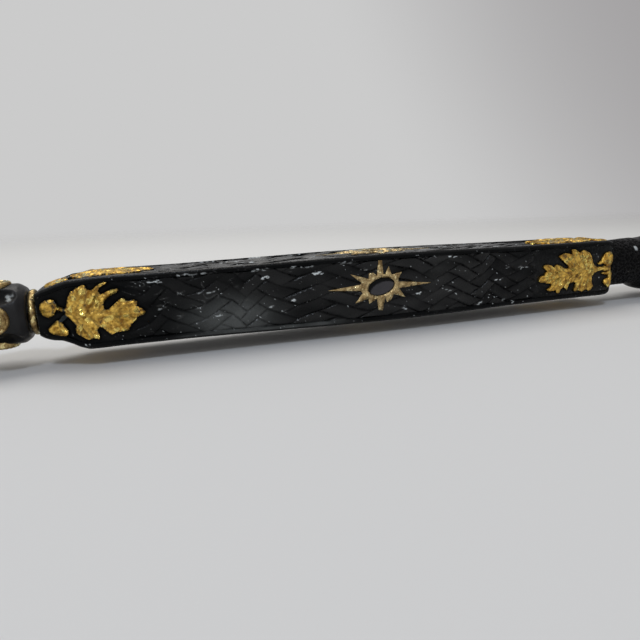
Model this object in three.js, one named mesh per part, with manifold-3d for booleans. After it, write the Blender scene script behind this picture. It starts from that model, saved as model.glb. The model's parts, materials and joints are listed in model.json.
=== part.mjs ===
// Carved walking stick: rubber foot, tapered round shaft, rosette knop, square carved section
// with gilded oak sprigs and sunbursts on its four faces, barrel neck and acorn-shaped knob.
// Millimetres, +Z up. The stick lies along X, its foot towards -X and its handle towards +X.
import * as THREE from 'three';
import { mergeVertices } from 'three/addons/utils/BufferGeometryUtils.js';
import Module from 'manifold-3d';

const wasm = await Module();
wasm.setup();

// Fits and tools
const fitGap = 0.3;
const cutOverrun = 2;
const roundSides = 32;
const slimSides = 24;
const smallSides = 16;

// Rubber foot
const footLength = 46;
const footBaseDiameter = 36;
const footTreadHeight = 9;
const footChamfer = 1.2;
const footNeckDiameter = 23;
const footRibProud = 0.8;
const footRibWidth = 2.4;
const footRibCount = 3;
const footBoreDepth = 33;
const footPadDiameter = 14;
const footGrooveWidth = 2;
const footGrooveDepth = 0.8;
const washerThickness = 1.6;

// Shaft and its collar
const shaftLength = 507.5;
const shaftFootDiameter = 14.6;
const shaftLowDiameter = 15.8;
const shaftTopDiameter = 17.6;
const shaftShoulder = 1.4;
const collarLength = 18;
const collarWall = 1;
const collarBeadProud = 0.5;
const collarBeadWidth = 2;
const pinDiameter = 2;

// Gilt rings and rosette knop
const ringDiameter = 15.2;
const ringWidth = 2.2;
const knopLength = 18;
const knopDiameter = 19.6;
const knopEndDiameter = 16.2;
const knopBevel = 2.4;
const rosetteDiameter = 9.4;
const rosetteProud = 0.9;
const rosetteGroove = 0.5;
const beadDiameter = 2.4;
const beadHeight = 1.5;
const scoopLength = 14.4;
const scoopWidth = 7.6;
const scoopDepth = 1.2;

// Screw joint between shaft and carved section
const studDiameter = 7;
const threadPitch = 2;
const threadDepth = 0.7;
const threadTurns = 6;
const studInShaft = 24;
const insertWall = 1.4;
const insertBottom = 2;

// Carved section
const sectionLength = 236.3;
const sectionWidth = 26;
const lowerTaper = 21;
const upperRound = 6;
const cornerRadius = 1;
const marginWidth = 0.6;
const marginBevel = 0.25;
const panelDepth = 0.5;
const cornerSteps = 3;

// Ornaments on the section's faces
const sprigThickness = 0.9;
const lowerSprigLength = 32.7;
const upperSprigLength = 43.1;
const sprigEdgeGap = 0.2;
const sunburstLength = 43.4;
const sunburstWidth = 20;
const sunburstThickness = 1;
const sunburstRise = 0.7;
const stoneLength = 11;
const stoneWidth = 6.4;
const stoneHeight = 0.8;
const stoneTurn = THREE.MathUtils.degToRad(11);

// The top face's ornaments, which were set out apart from the others'
const topLowerSprigGap = 0.5;
const topLowerSprigLength = 36.5;
const topUpperSprigLength = 40.4;
const topSunburstShift = 3.5;
const topSunburstLength = 50;

// Handle
const neckDiameter = 21.2;
const neckTopDiameter = 22.2;
const neckLength = 20;
const swellDiameter = 26.6;
const swellLength = 26;
const swellEndDiameter = 19.6;
const cupLength = 22;
const cupRimDiameter = 36;
const cupRimWidth = 3;
const nutDiameter = 33;
const nutLength = 32;
const nutPointDiameter = 5;
const nutPointLength = 3;
const spigotDiameter = 20;
const spigotLength = 4;
const handleStudInSection = 24;
const handleStudInNut = 20;

// Colours
const lacquer = { color: 0x17171a, roughness: 0.35, metalness: 0 };
const gilt = { color: 0xb8923f, roughness: 0.4, metalness: 0.85 };
const brass = { color: 0xb59a55, roughness: 0.35, metalness: 1 };
const steel = { color: 0x8d9094, roughness: 0.4, metalness: 1 };
const rubber = { color: 0x1d1d1d, roughness: 0.9, metalness: 0 };
const stone = { color: 0x2b2c30, roughness: 0.15, metalness: 0 };

// Stations along the stick, measured from the foot's ground face
const shaftStart = footLength - footBoreDepth + washerThickness + 2 * fitGap;
const shaftTop = footLength + shaftLength;
const shaftRingStart = shaftTop + fitGap;
const knopStart = shaftRingStart + ringWidth + fitGap;
const jointRingStart = knopStart + knopLength + fitGap;
const sectionStart = jointRingStart + ringWidth + fitGap;
const sectionEnd = sectionStart + sectionLength;
const neckStart = sectionEnd + fitGap;
const cupStart = neckStart + neckLength + swellLength + fitGap;
const nutStart = cupStart + cupLength + fitGap;
const overallLength = nutStart + nutLength;
const restRadius = Math.max(footBaseDiameter, cupRimDiameter) / 2;
const axisHeight = restRadius * Math.cos(Math.PI / roundSides);

// A solid turned about X from a profile of [x, radius] points, a flat facet at its underside
function turned(profile, sides) {
  const points = profile.map(([x, radius]) => new THREE.Vector2(radius, x));
  const geometry = new THREE.LatheGeometry(points, sides, Math.PI / sides);
  geometry.rotateZ(-Math.PI / 2);
  return geometry;
}

// Points of an elliptical arc in a profile, about [x, radius], from one angle to another
function profileArc(x, radius, reachX, reachRadius, fromAngle, toAngle, steps) {
  const points = [];
  for (let i = 0; i <= steps; i += 1) {
    const angle = fromAngle + ((toAngle - fromAngle) * i) / steps;
    points.push([x + reachX * Math.cos(angle), radius + reachRadius * Math.sin(angle)]);
  }
  return points;
}

// A round boss or cutter about local Z, from a profile of [radius, height] points
function upright(profile, sides) {
  const points = profile.map(([radius, height]) => new THREE.Vector2(radius, height));
  const geometry = new THREE.LatheGeometry(points, sides);
  geometry.rotateX(Math.PI / 2);
  return geometry;
}

// A plain cylinder about X between two stations
function rodAlong(fromX, toX, radius, sides) {
  return turned([[fromX, 0], [fromX, radius], [toX, radius], [toX, 0]], sides);
}

// Closed geometry as a solid for cutting and joining
function solid(geometry) {
  const bare = geometry.clone();
  bare.deleteAttribute('normal');
  bare.deleteAttribute('uv');
  const merged = mergeVertices(bare, 1e-5);
  const mesh = new wasm.Mesh({
    numProp: 3,
    vertProperties: new Float32Array(merged.attributes.position.array),
    triVerts: new Uint32Array(merged.index.array),
  });
  return new wasm.Manifold(mesh);
}

// A solid back to geometry
function geometryOf(manifold) {
  const mesh = manifold.getMesh();
  const geometry = new THREE.BufferGeometry();
  geometry.setAttribute('position', new THREE.BufferAttribute(mesh.vertProperties, 3));
  geometry.setIndex(new THREE.BufferAttribute(mesh.triVerts, 1));
  geometry.computeVertexNormals();
  return geometry;
}

// One geometry cut by several others
function cutBy(geometry, cutters) {
  let body = solid(geometry);
  for (const cutter of cutters) {
    body = body.subtract(solid(cutter));
  }
  return geometryOf(body);
}

const stick = new THREE.Group();
stick.position.set(-overallLength / 2, 0, axisHeight);

// One named piece, in the stick itself or in a group that turns it to a face
function addPiece(name, geometry, finish, parent = stick) {
  const mesh = new THREE.Mesh(geometry, new THREE.MeshStandardMaterial(finish));
  mesh.name = name;
  parent.add(mesh);
  return mesh;
}

// Layout of a face: gap of the lower sprig from the section's end, lengths, and how far the
// sunburst sits past the section's middle
const evenLayout = {
  lowerGap: 0,
  lowerLength: lowerSprigLength,
  upperLength: upperSprigLength,
  shift: 0,
  rayLength: sunburstLength,
};
const topLayout = {
  lowerGap: topLowerSprigGap,
  lowerLength: topLowerSprigLength,
  upperLength: topUpperSprigLength,
  shift: topSunburstShift,
  rayLength: topSunburstLength,
};

// The four faces of the section, each the angle that turns local +Z to it, and its layout
const faces = [
  { name: 'front', angle: Math.PI / 2, layout: evenLayout },
  { name: 'back', angle: -Math.PI / 2, layout: evenLayout },
  { name: 'top', angle: 0, layout: topLayout },
  { name: 'bottom', angle: Math.PI, layout: evenLayout },
];

function faceGroup(angle) {
  const group = new THREE.Group();
  group.rotation.x = angle;
  stick.add(group);
  return group;
}

// Rubber foot: treaded ground face, wide base, bell-shaped body with ribs, bore for the shaft
function rubberFoot() {
  const baseRadius = footBaseDiameter / 2;
  const neckRadius = footNeckDiameter / 2;
  const padRadius = footPadDiameter / 2;
  const boreRadius = shaftFootDiameter / 2 + fitGap;
  const boreFloor = footLength - footBoreDepth;
  const ribsStart = footLength - 2 * footRibCount * footRibWidth;
  const profile = [
    [0, 0],
    [0, padRadius],
    [footGrooveDepth, padRadius],
    [footGrooveDepth, padRadius + footGrooveWidth],
    [0, padRadius + footGrooveWidth],
    [0, baseRadius - footChamfer],
    [footChamfer, baseRadius],
    [footTreadHeight, baseRadius],
  ];
  const bell = profileArc(
    ribsStart,
    baseRadius - footChamfer,
    footTreadHeight - ribsStart,
    neckRadius - baseRadius + footChamfer,
    0,
    Math.PI / 2,
    6,
  );
  profile.push(...bell);
  for (let i = 0; i < footRibCount; i += 1) {
    const ribX = ribsStart + (2 * i + 1) * footRibWidth;
    profile.push([ribX, neckRadius]);
    profile.push([ribX, neckRadius + footRibProud]);
    profile.push([ribX + footRibWidth, neckRadius + footRibProud]);
    if (i < footRibCount - 1) {
      profile.push([ribX + footRibWidth, neckRadius]);
    }
  }
  profile.push([footLength, boreRadius]);
  profile.push([boreFloor, boreRadius]);
  profile.push([boreFloor, 0]);
  return turned(profile, roundSides);
}

// Tapered shaft: seat for foot and collar, long taper, rounded shoulder, bore for the stud
function shaft() {
  const footRadius = shaftFootDiameter / 2;
  const lowRadius = shaftLowDiameter / 2;
  const topRadius = shaftTopDiameter / 2;
  const boreRadius = studDiameter / 2 + fitGap;
  const seatEnd = footLength + collarLength + 2 * fitGap;
  const boreFloor = shaftTop - studInShaft - fitGap;
  const shoulder = profileArc(
    shaftTop - shaftShoulder,
    topRadius - shaftShoulder,
    shaftShoulder,
    shaftShoulder,
    Math.PI / 2,
    0,
    3,
  );
  const profile = [
    [shaftStart, 0],
    [shaftStart, footRadius],
    [seatEnd, footRadius],
    [seatEnd, lowRadius],
    ...shoulder,
    [shaftTop, boreRadius],
    [boreFloor, boreRadius],
    [boreFloor, 0],
  ];
  return turned(profile, slimSides);
}

// Brass collar with a bead round its upper edge
function collar() {
  const inner = shaftFootDiameter / 2 + fitGap;
  const outer = inner + collarWall;
  const start = footLength + fitGap;
  const end = start + collarLength;
  const bead = profileArc(
    end - collarBeadWidth / 2,
    outer,
    -collarBeadWidth / 2,
    collarBeadProud,
    0,
    Math.PI,
    4,
  );
  return turned([[start, inner], [start, outer], ...bead, [end, inner], [start, inner]], slimSides);
}

// The pin's line crosses the axis halfway along the collar
function pinGeometry(radius, reach) {
  const geometry = new THREE.CylinderGeometry(radius, radius, 2 * reach, smallSides);
  geometry.translate(footLength + fitGap + collarLength / 2, 0, 0);
  return geometry;
}

// Rounded gilt ring about the stud
function giltRing(start) {
  const inner = studDiameter / 2 + fitGap;
  const outer = ringDiameter / 2;
  const crown = profileArc(
    start + ringWidth / 2,
    outer - ringWidth / 2,
    -ringWidth / 2,
    ringWidth / 2,
    0,
    Math.PI,
    6,
  );
  return turned([[start, inner], ...crown, [start + ringWidth, inner], [start, inner]], slimSides);
}

// Flat seat of each rosette, measured from the stick's axis
const rosetteSeatRadius = rosetteDiameter / 2 + fitGap;
const seatHeight = Math.sqrt((knopDiameter / 2) ** 2 - rosetteSeatRadius ** 2);
const knopMiddle = knopStart + knopLength / 2;

// Bevelled knop with four flat rosette seats, a scoop between each two, and the stud's bore
function knop() {
  const middle = knopDiameter / 2;
  const edge = knopEndDiameter / 2;
  const end = knopStart + knopLength;
  const bore = studDiameter / 2 + fitGap;
  const body = turned(
    [
      [knopStart, bore],
      [knopStart, edge],
      [knopStart + knopBevel, middle],
      [end - knopBevel, middle],
      [end, edge],
      [end, bore],
      [knopStart, bore],
    ],
    roundSides,
  );
  const cutters = [];
  for (const { angle } of faces) {
    const seat = new THREE.CylinderGeometry(
      rosetteSeatRadius,
      rosetteSeatRadius,
      cutOverrun,
      slimSides,
    );
    seat.rotateX(Math.PI / 2);
    seat.translate(knopMiddle, 0, seatHeight + cutOverrun / 2);
    seat.rotateX(angle);
    cutters.push(seat);
    const scoop = new THREE.SphereGeometry(1, smallSides, smallSides);
    scoop.scale(scoopLength / 2, scoopWidth / 2, scoopDepth);
    scoop.translate(knopMiddle, 0, middle);
    scoop.rotateX(angle + Math.PI / 4);
    cutters.push(scoop);
  }
  return cutBy(body, cutters);
}

// Gilt rosette: outer ring, sunk ring and raised eye round the bead's hole
function rosette() {
  const outer = rosetteDiameter / 2;
  const hole = beadDiameter / 2 + fitGap;
  const height = knopDiameter / 2 + rosetteProud - seatHeight - fitGap;
  const ring = (outer - hole) / 5;
  return upright(
    [
      [hole, 0],
      [outer, 0],
      [outer, height - rosetteGroove],
      [outer - ring, height],
      [outer - 2 * ring, height],
      [outer - 2.5 * ring, height - rosetteGroove],
      [outer - 4 * ring, height - rosetteGroove],
      [hole, height - rosetteGroove / 2],
      [hole, 0],
    ],
    smallSides,
  );
}

// Domed bead
function bead() {
  const dome = [];
  const steps = 3;
  for (let i = 0; i <= steps; i += 1) {
    const angle = (Math.PI / 2) * (i / steps);
    dome.push([
      (beadDiameter / 2) * Math.cos(angle),
      (beadHeight / 2) * (1 + Math.sin(angle)),
    ]);
  }
  return upright([[0, 0], [beadDiameter / 2, 0], ...dome], smallSides);
}

// Steel stud: plain shank in shaft and knop, threaded end in the section
function jointStud() {
  const radius = studDiameter / 2;
  const start = shaftTop - studInShaft;
  const end = sectionStart + threadPitch * threadTurns;
  const profile = [[start, 0], [start, radius], [sectionStart, radius]];
  for (let i = 0; i < threadTurns; i += 1) {
    profile.push([sectionStart + (i + 0.5) * threadPitch, radius - threadDepth]);
    if (i < threadTurns - 1) {
      profile.push([sectionStart + (i + 1) * threadPitch, radius]);
    }
  }
  profile.push([end, radius - threadDepth]);
  profile.push([end, 0]);
  return turned(profile, smallSides);
}

// Brass insert in the section's lower end, closed at its bottom
const insertOuter = studDiameter / 2 + fitGap + insertWall;
const insertStart = sectionStart + fitGap;
const insertEnd = sectionStart + threadPitch * threadTurns + fitGap + insertBottom;

function jointInsert() {
  const bore = studDiameter / 2 + fitGap;
  return turned(
    [
      [insertEnd, 0],
      [insertEnd - insertBottom, 0],
      [insertEnd - insertBottom, bore],
      [insertStart, bore],
      [insertStart, insertOuter],
      [insertEnd, insertOuter],
      [insertEnd, 0],
    ],
    slimSides,
  );
}

// Stations of the section: shares of the taper, of the middle and of the rounded end,
// each with its half-width and panel depth as shares of the full ones
const taperShares = [
  [0, 0.53, 0],
  [0.045, 0.58, 0.3],
  [0.12, 0.63, 0.7],
  [0.33, 0.712, 1],
  [0.52, 0.825, 1],
  [0.7, 0.892, 1],
  [0.87, 0.902, 1],
];
const middleShares = [
  [0, 0.902, 1],
  [0.12, 0.908, 1],
  [0.25, 0.945, 1],
  [0.38, 0.982, 1],
  [0.5, 1, 1],
  [0.62, 0.99, 1],
  [0.75, 0.962, 1],
  [0.88, 0.95, 1],
  [1, 0.952, 1],
];
const roundShares = [
  [0.35, 0.945, 1],
  [0.65, 0.912, 0.8],
  [0.87, 0.855, 0.4],
  [1, 0.78, 0],
];

function sectionStations() {
  const middleStart = sectionStart + lowerTaper;
  const middleLength = sectionLength - lowerTaper - upperRound;
  const spans = [
    [taperShares, sectionStart, lowerTaper],
    [middleShares, middleStart, middleLength],
    [roundShares, sectionEnd - upperRound, upperRound],
  ];
  const stations = [];
  for (const [shares, start, length] of spans) {
    for (const [alongShare, widthShare, depthShare] of shares) {
      stations.push({
        x: start + alongShare * length,
        half: (widthShare * sectionWidth) / 2,
        depth: depthShare * panelDepth,
      });
    }
  }
  return stations;
}
const stations = sectionStations();

// Half the panel's width where the section's own half-width is given
function panelHalf(half) {
  return half - cornerRadius - marginWidth - marginBevel;
}

// One cross-section, as [y, z] points: margins, sunk panel and rounded corner of each face
function crossSection({ half, depth }) {
  const quarter = [
    [-panelHalf(half) - marginBevel, half],
    [-panelHalf(half), half - depth],
    [panelHalf(half), half - depth],
    [panelHalf(half) + marginBevel, half],
  ];
  for (let i = 0; i <= cornerSteps; i += 1) {
    const angle = (Math.PI / 2) * (1 - i / cornerSteps);
    quarter.push([
      half - cornerRadius + cornerRadius * Math.cos(angle),
      half - cornerRadius + cornerRadius * Math.sin(angle),
    ]);
  }
  const ring = [];
  let turnedQuarter = quarter;
  for (let face = 0; face < faces.length; face += 1) {
    ring.push(...turnedQuarter);
    turnedQuarter = turnedQuarter.map(([y, z]) => [z, -y]);
  }
  return ring;
}

// Skin over the stations, with a fan at each end
function loftedSection() {
  const positions = [];
  const indices = [];
  const rings = stations.map((station) => crossSection(station));
  const count = rings[0].length;
  rings.forEach((ring, i) => {
    for (const [y, z] of ring) {
      positions.push(stations[i].x, y, z);
    }
  });
  for (let i = 0; i < rings.length - 1; i += 1) {
    for (let j = 0; j < count; j += 1) {
      const next = (j + 1) % count;
      const a = i * count + j;
      const b = i * count + next;
      indices.push(a, a + count, b);
      indices.push(b, a + count, b + count);
    }
  }
  const startCentre = positions.length / 3;
  positions.push(stations[0].x, 0, 0);
  const endCentre = startCentre + 1;
  positions.push(stations[stations.length - 1].x, 0, 0);
  const lastRing = (rings.length - 1) * count;
  for (let j = 0; j < count; j += 1) {
    const next = (j + 1) % count;
    indices.push(startCentre, j, next);
    indices.push(endCentre, lastRing + next, lastRing + j);
  }
  const geometry = new THREE.BufferGeometry();
  geometry.setAttribute('position', new THREE.Float32BufferAttribute(positions, 3));
  geometry.setIndex(indices);
  return geometry;
}

// The carved section with its insert bore at one end and its handle stud bore at the other
function carvedSection() {
  const insertBore = rodAlong(
    sectionStart - cutOverrun,
    insertEnd + fitGap,
    insertOuter + fitGap,
    slimSides,
  );
  const studBore = rodAlong(
    sectionEnd - handleStudInSection - fitGap,
    sectionEnd + cutOverrun,
    studDiameter / 2 + fitGap,
    slimSides,
  );
  return cutBy(loftedSection(), [insertBore, studBore]);
}

// Height of the panel's floor above the axis at a station between the listed ones
function floorHeight(x) {
  for (let i = 0; i < stations.length - 1; i += 1) {
    const from = stations[i];
    const to = stations[i + 1];
    if (x <= to.x) {
      const share = (x - from.x) / (to.x - from.x);
      const fromFloor = from.half - from.depth;
      return fromFloor + share * (to.half - to.depth - fromFloor);
    }
  }
  const last = stations[stations.length - 1];
  return last.half - last.depth;
}

// A skin of even thickness that lies fitGap over the panel's floor, from edge to edge
function panelSkin(thickness) {
  const side = new THREE.Shape();
  const plan = new THREE.Shape();
  const reach = sectionWidth / 2;
  const upwards = stations.map(({ x }) => [x, floorHeight(x) + fitGap]);
  const back = [...upwards].reverse().map(([x, z]) => [x, z + thickness]);
  side.setFromPoints([...upwards, ...back].map(([x, z]) => new THREE.Vector2(x, z)));
  const slab = new THREE.ExtrudeGeometry(side, { depth: 2 * reach, bevelEnabled: false });
  slab.rotateX(Math.PI / 2);
  slab.translate(0, reach, 0);
  const edge = stations.map(({ x, half }) => [x, panelHalf(half) - sprigEdgeGap]);
  const far = [...edge].reverse().map(([x, y]) => [x, -y]);
  plan.setFromPoints([...edge, ...far].map(([x, y]) => new THREE.Vector2(x, y)));
  const panel = new THREE.ExtrudeGeometry(plan, { depth: sectionWidth, bevelEnabled: false });
  return solid(slab).intersect(solid(panel));
}

// Outline of [x, y] points as a prism that passes through the skin
function prism(points, holePath = null) {
  const shape = new THREE.Shape(points.map(([x, y]) => new THREE.Vector2(x, y)));
  if (holePath) {
    shape.holes.push(holePath);
  }
  const settings = { depth: sectionWidth, bevelEnabled: false, curveSegments: slimSides };
  return new THREE.ExtrudeGeometry(shape, settings);
}

// Sprig at the section's lower end: along shares of its length from the section's end face,
// across shares of its half-width, the leaf's tip towards the middle
const lowerLeafShares = [
  [0.263, 0.09], [0.302, 0.53], [0.331, 0.71], [0.399, 0.88], [0.447, 0.98], [0.467, 0.94],
  [0.481, 0.81], [0.506, 0.77], [0.535, 0.79], [0.564, 0.88], [0.612, 0.97], [0.67, 0.99],
  [0.651, 0.93], [0.593, 0.84], [0.578, 0.71], [0.603, 0.6], [0.651, 0.67], [0.709, 0.75],
  [0.753, 0.75], [0.764, 0.69], [0.738, 0.6], [0.68, 0.53], [0.636, 0.43], [0.612, 0.29],
  [0.614, 0.13], [0.641, 0.07], [0.68, 0.15], [0.729, 0.29], [0.777, 0.41], [0.806, 0.43],
  [0.816, 0.34], [0.855, 0.31], [0.893, 0.35], [0.929, 0.26], [0.915, 0.12], [0.961, 0.04],
  [1, -0.11], [0.971, -0.21], [0.922, -0.23], [0.893, -0.35], [0.845, -0.49], [0.823, -0.67],
  [0.752, -0.69], [0.703, -0.69], [0.658, -0.77], [0.63, -0.67], [0.593, -0.51],
  [0.557, -0.44], [0.532, -0.53], [0.544, -0.73], [0.544, -0.86], [0.502, -0.81],
  [0.434, -0.83], [0.391, -0.73], [0.34, -0.65], [0.333, -0.49], [0.354, -0.4], [0.29, -0.15],
  [0.263, 0],
];
const lowerAcornShares = [
  [
    [0.033, 0.25], [0.049, 0.39], [0.088, 0.48], [0.132, 0.5], [0.17, 0.44], [0.19, 0.3],
    [0.184, 0.13], [0.151, -0.04], [0.103, -0.09], [0.059, -0.02], [0.038, 0.1],
  ],
  [
    [0.178, -0.19], [0.125, -0.34], [0.086, -0.46], [0.091, -0.56], [0.154, -0.7],
    [0.232, -0.77], [0.266, -0.68], [0.264, -0.57], [0.222, -0.34],
  ],
];
const lowerStemShares = [
  [[0.158, 0.19], [0.178, 0.24], [0.283, 0.12], [0.283, 0.01], [0.244, 0.02]],
  [[0.283, 0.09], [0.183, -0.26], [0.208, -0.33], [0.312, -0.02]],
];

// Sprig at the section's upper end, in the same shares
const upperLeafShares = [
  [1, -0.31], [0.979, -0.14], [0.961, -0.09], [0.932, -0.11], [0.919, -0.01], [0.898, 0.09],
  [0.949, 0.27], [0.94, 0.35], [0.907, 0.38], [0.858, 0.33], [0.81, 0.21], [0.791, 0.33],
  [0.767, 0.34], [0.73, 0.27], [0.694, 0.17], [0.647, 0.12], [0.617, 0.14], [0.629, 0.24],
  [0.67, 0.37], [0.719, 0.54], [0.757, 0.67], [0.742, 0.75], [0.682, 0.82], [0.633, 0.78],
  [0.592, 0.74], [0.598, 0.89], [0.61, 0.95], [0.573, 0.96], [0.538, 0.91], [0.502, 0.79],
  [0.478, 0.83], [0.452, 0.9], [0.418, 0.86], [0.369, 0.76], [0.339, 0.59], [0.32, 0.37],
  [0.295, 0.19], [0.26, 0.1], [0.2, 0.07], [0.108, 0.08], [0.108, -0.09], [0.174, -0.06],
  [0.248, -0.1], [0.283, -0.18], [0.313, -0.34], [0.309, -0.56], [0.29, -0.77], [0.309, -0.92],
  [0.343, -0.97], [0.369, -0.87], [0.404, -0.92], [0.434, -0.99], [0.46, -0.92], [0.49, -0.89],
  [0.525, -0.94], [0.538, -0.87], [0.52, -0.67], [0.525, -0.51], [0.562, -0.49],
  [0.598, -0.54], [0.615, -0.67], [0.629, -0.84], [0.652, -0.75], [0.682, -0.67],
  [0.708, -0.77], [0.73, -0.94], [0.761, -0.92], [0.773, -0.77], [0.803, -0.8], [0.863, -0.8],
  [0.891, -0.73], [0.858, -0.68], [0.828, -0.57], [0.84, -0.46], [0.9, -0.44], [0.937, -0.38],
  [0.972, -0.39],
];
const upperAcornShares = [
  [
    [0.068, 0.06], [0.039, 0.14], [0.019, 0.34], [0.025, 0.55], [0.058, 0.71], [0.102, 0.75],
    [0.15, 0.68], [0.184, 0.5], [0.192, 0.37], [0.242, 0.25], [0.228, 0.17], [0.175, 0.25],
    [0.136, 0.18], [0.107, 0.07],
  ],
  [
    [0.066, -0.07], [0.027, -0.2], [0.01, -0.45], [0.012, -0.72], [0.042, -0.9], [0.08, -0.9],
    [0.119, -0.75], [0.146, -0.63], [0.129, -0.53], [0.08, -0.46], [0.085, -0.3],
    [0.128, -0.29], [0.177, -0.23], [0.168, -0.17], [0.114, -0.18],
  ],
];
const upperStemShares = [
  [[0.058, 0.12], [0.15, 0.1], [0.15, -0.1], [0.058, -0.12]],
];

// Half the panel's width at its narrow end part, which the sprigs fill from edge to edge
const narrowWidthShare = 0.902;
const sprigHalf = panelHalf((narrowWidthShare * sectionWidth) / 2);

// A sprig from its share tables: start is its end face, inward the sign of its leaf's direction
function sprig(start, inward, length, partShares) {
  let body = null;
  for (const shares of partShares) {
    const points = shares.map(([along, across]) => [
      start + inward * along * length,
      across * sprigHalf,
    ]);
    const part = solid(prism(points));
    body = body ? body.add(part) : part;
  }
  return geometryOf(body.intersect(panelSkin(sprigThickness)));
}

// Twelve hand-cut rays, as shares of half the sunburst's length and width
const sunburstShares = [
  [-1, 0.01], [-0.4, 0.14], [-0.38, 0.2], [-0.59, 0.56], [-0.245, 0.33], [-0.24, 0.54],
  [-0.157, 0.55], [-0.09, 0.44], [-0.06, 1], [0.005, 1], [0.035, 0.47], [0.07, 0.48],
  [0.138, 0.75], [0.194, 0.43], [0.396, 0.5], [0.33, 0.25], [0.345, 0.14], [1, -0.01],
  [0.345, -0.12], [0.47, -0.49], [0.245, -0.34], [0.18, -0.55], [0.11, -0.62],
  [0.074, -0.44], [0.023, -0.92], [-0.055, -0.9], [-0.09, -0.46], [-0.166, -0.54],
  [-0.235, -0.62], [-0.25, -0.42], [-0.5, -0.56], [-0.36, -0.19], [-0.4, -0.1],
];
const sectionMiddle = sectionStart + sectionLength / 2;

// Gilt sunburst with the oval hole that holds its stone
function sunburst(middle, length) {
  const points = sunburstShares.map(([along, across]) => [
    middle + (along * length) / 2,
    sunburstRise + (across * sunburstWidth) / 2,
  ]);
  const hole = new THREE.Path();
  hole.absellipse(
    middle,
    sunburstRise,
    stoneLength / 2 + fitGap,
    stoneWidth / 2 + fitGap,
    0,
    2 * Math.PI,
    false,
    stoneTurn,
  );
  const body = solid(prism(points, hole));
  return geometryOf(body.intersect(panelSkin(sunburstThickness)));
}

// Low domed oval stone, a unit dome scaled to its sizes
function ovalStone() {
  const dome = [[0, 0], [1, 0], [1, 0.55], [0.9, 0.8], [0.65, 0.93], [0, 1]];
  const geometry = upright(dome, slimSides);
  geometry.scale(stoneLength / 2, stoneWidth / 2, stoneHeight);
  geometry.rotateZ(stoneTurn);
  return geometry;
}

// Handle neck: stippled round neck that swells into a barrel, shares of the swell's length
const swellShares = [
  [0, 0], [0.1, 0.14], [0.2, 0.42], [0.3, 0.68], [0.42, 0.88], [0.56, 1], [0.7, 0.94],
  [0.82, 0.7], [0.92, 0.3],
];

function handleNeck() {
  const neck = neckDiameter / 2;
  const neckTop = neckTopDiameter / 2;
  const bore = studDiameter / 2 + fitGap;
  const swellStart = neckStart + neckLength;
  const end = swellStart + swellLength;
  const barrel = swellShares.map(([along, swell]) => [
    swellStart + along * swellLength,
    neckTop + (swell * (swellDiameter - neckTopDiameter)) / 2,
  ]);
  const profile = [
    [neckStart, bore],
    [neckStart, neck],
    ...barrel,
    [end, swellEndDiameter / 2],
    [end, bore],
    [neckStart, bore],
  ];
  return turned(profile, roundSides);
}

// Cup of the acorn: swelling stippled bowl, rim, and the socket for the nut's spigot
const cupShares = [
  [0, 0], [0.07, 0.2], [0.2, 0.46], [0.36, 0.68], [0.54, 0.85], [0.7, 0.95], [0.86, 1],
];

function handleCup() {
  const neck = swellEndDiameter / 2;
  const rim = cupRimDiameter / 2;
  const end = cupStart + cupLength;
  const bore = studDiameter / 2 + fitGap;
  const socket = spigotDiameter / 2 + fitGap;
  const socketFloor = end - spigotLength;
  const bowl = cupShares.map(([along, swell]) => [
    cupStart + along * cupLength,
    neck + swell * (rim - neck),
  ]);
  const profile = [
    [cupStart, bore],
    ...bowl,
    [end - cupRimWidth / 3, rim],
    [end, rim - cupRimWidth / 3],
    [end, socket],
    [socketFloor, socket],
    [socketFloor, bore],
    [cupStart, bore],
  ];
  return turned(profile, roundSides);
}

// Smooth nut of the acorn, with its spigot, its stud bore and a small point
const nutShares = [
  [0, 0.9], [0.12, 0.97], [0.28, 1], [0.45, 0.97], [0.6, 0.88], [0.74, 0.72], [0.86, 0.5],
  [0.95, 0.25],
];

function handleNut() {
  const radius = nutDiameter / 2;
  const spigot = spigotDiameter / 2;
  const spigotStart = nutStart - spigotLength;
  const bore = studDiameter / 2 + fitGap;
  const boreFloor = nutStart + handleStudInNut + fitGap;
  const bodyLength = nutLength - nutPointLength;
  const body = nutShares.map(([along, swell]) => [
    nutStart + along * bodyLength,
    swell * radius,
  ]);
  const profile = [
    [boreFloor, 0],
    [boreFloor, bore],
    [spigotStart, bore],
    [spigotStart, spigot],
    [nutStart, spigot],
    ...body,
    [nutStart + bodyLength, nutPointDiameter / 2],
    [nutStart + nutLength - nutPointLength / 3, nutPointDiameter / 4],
    [nutStart + nutLength, 0],
  ];
  return turned(profile, roundSides);
}

// Foot end
const pinReach = shaftFootDiameter / 2 + fitGap + collarWall;
const pinHole = pinGeometry(pinDiameter / 2 + fitGap, pinReach + cutOverrun);
const washerStart = footLength - footBoreDepth + fitGap;
addPiece('rubber_foot', rubberFoot(), rubber);
addPiece(
  'foot_washer',
  rodAlong(washerStart, washerStart + washerThickness, shaftFootDiameter / 2, slimSides),
  steel,
);
addPiece('tapered_shaft', cutBy(shaft(), [pinHole]), lacquer);
addPiece('foot_collar', cutBy(collar(), [pinHole]), brass);
addPiece('collar_pin', pinGeometry(pinDiameter / 2, pinReach), brass);

// Knop, rings and the screw joint
addPiece('shaft_ring', giltRing(shaftRingStart), gilt);
addPiece('rosette_knop', knop(), lacquer);
addPiece('joint_ring', giltRing(jointRingStart), gilt);
addPiece('joint_stud', jointStud(), steel);
addPiece('joint_insert', jointInsert(), brass);

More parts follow.
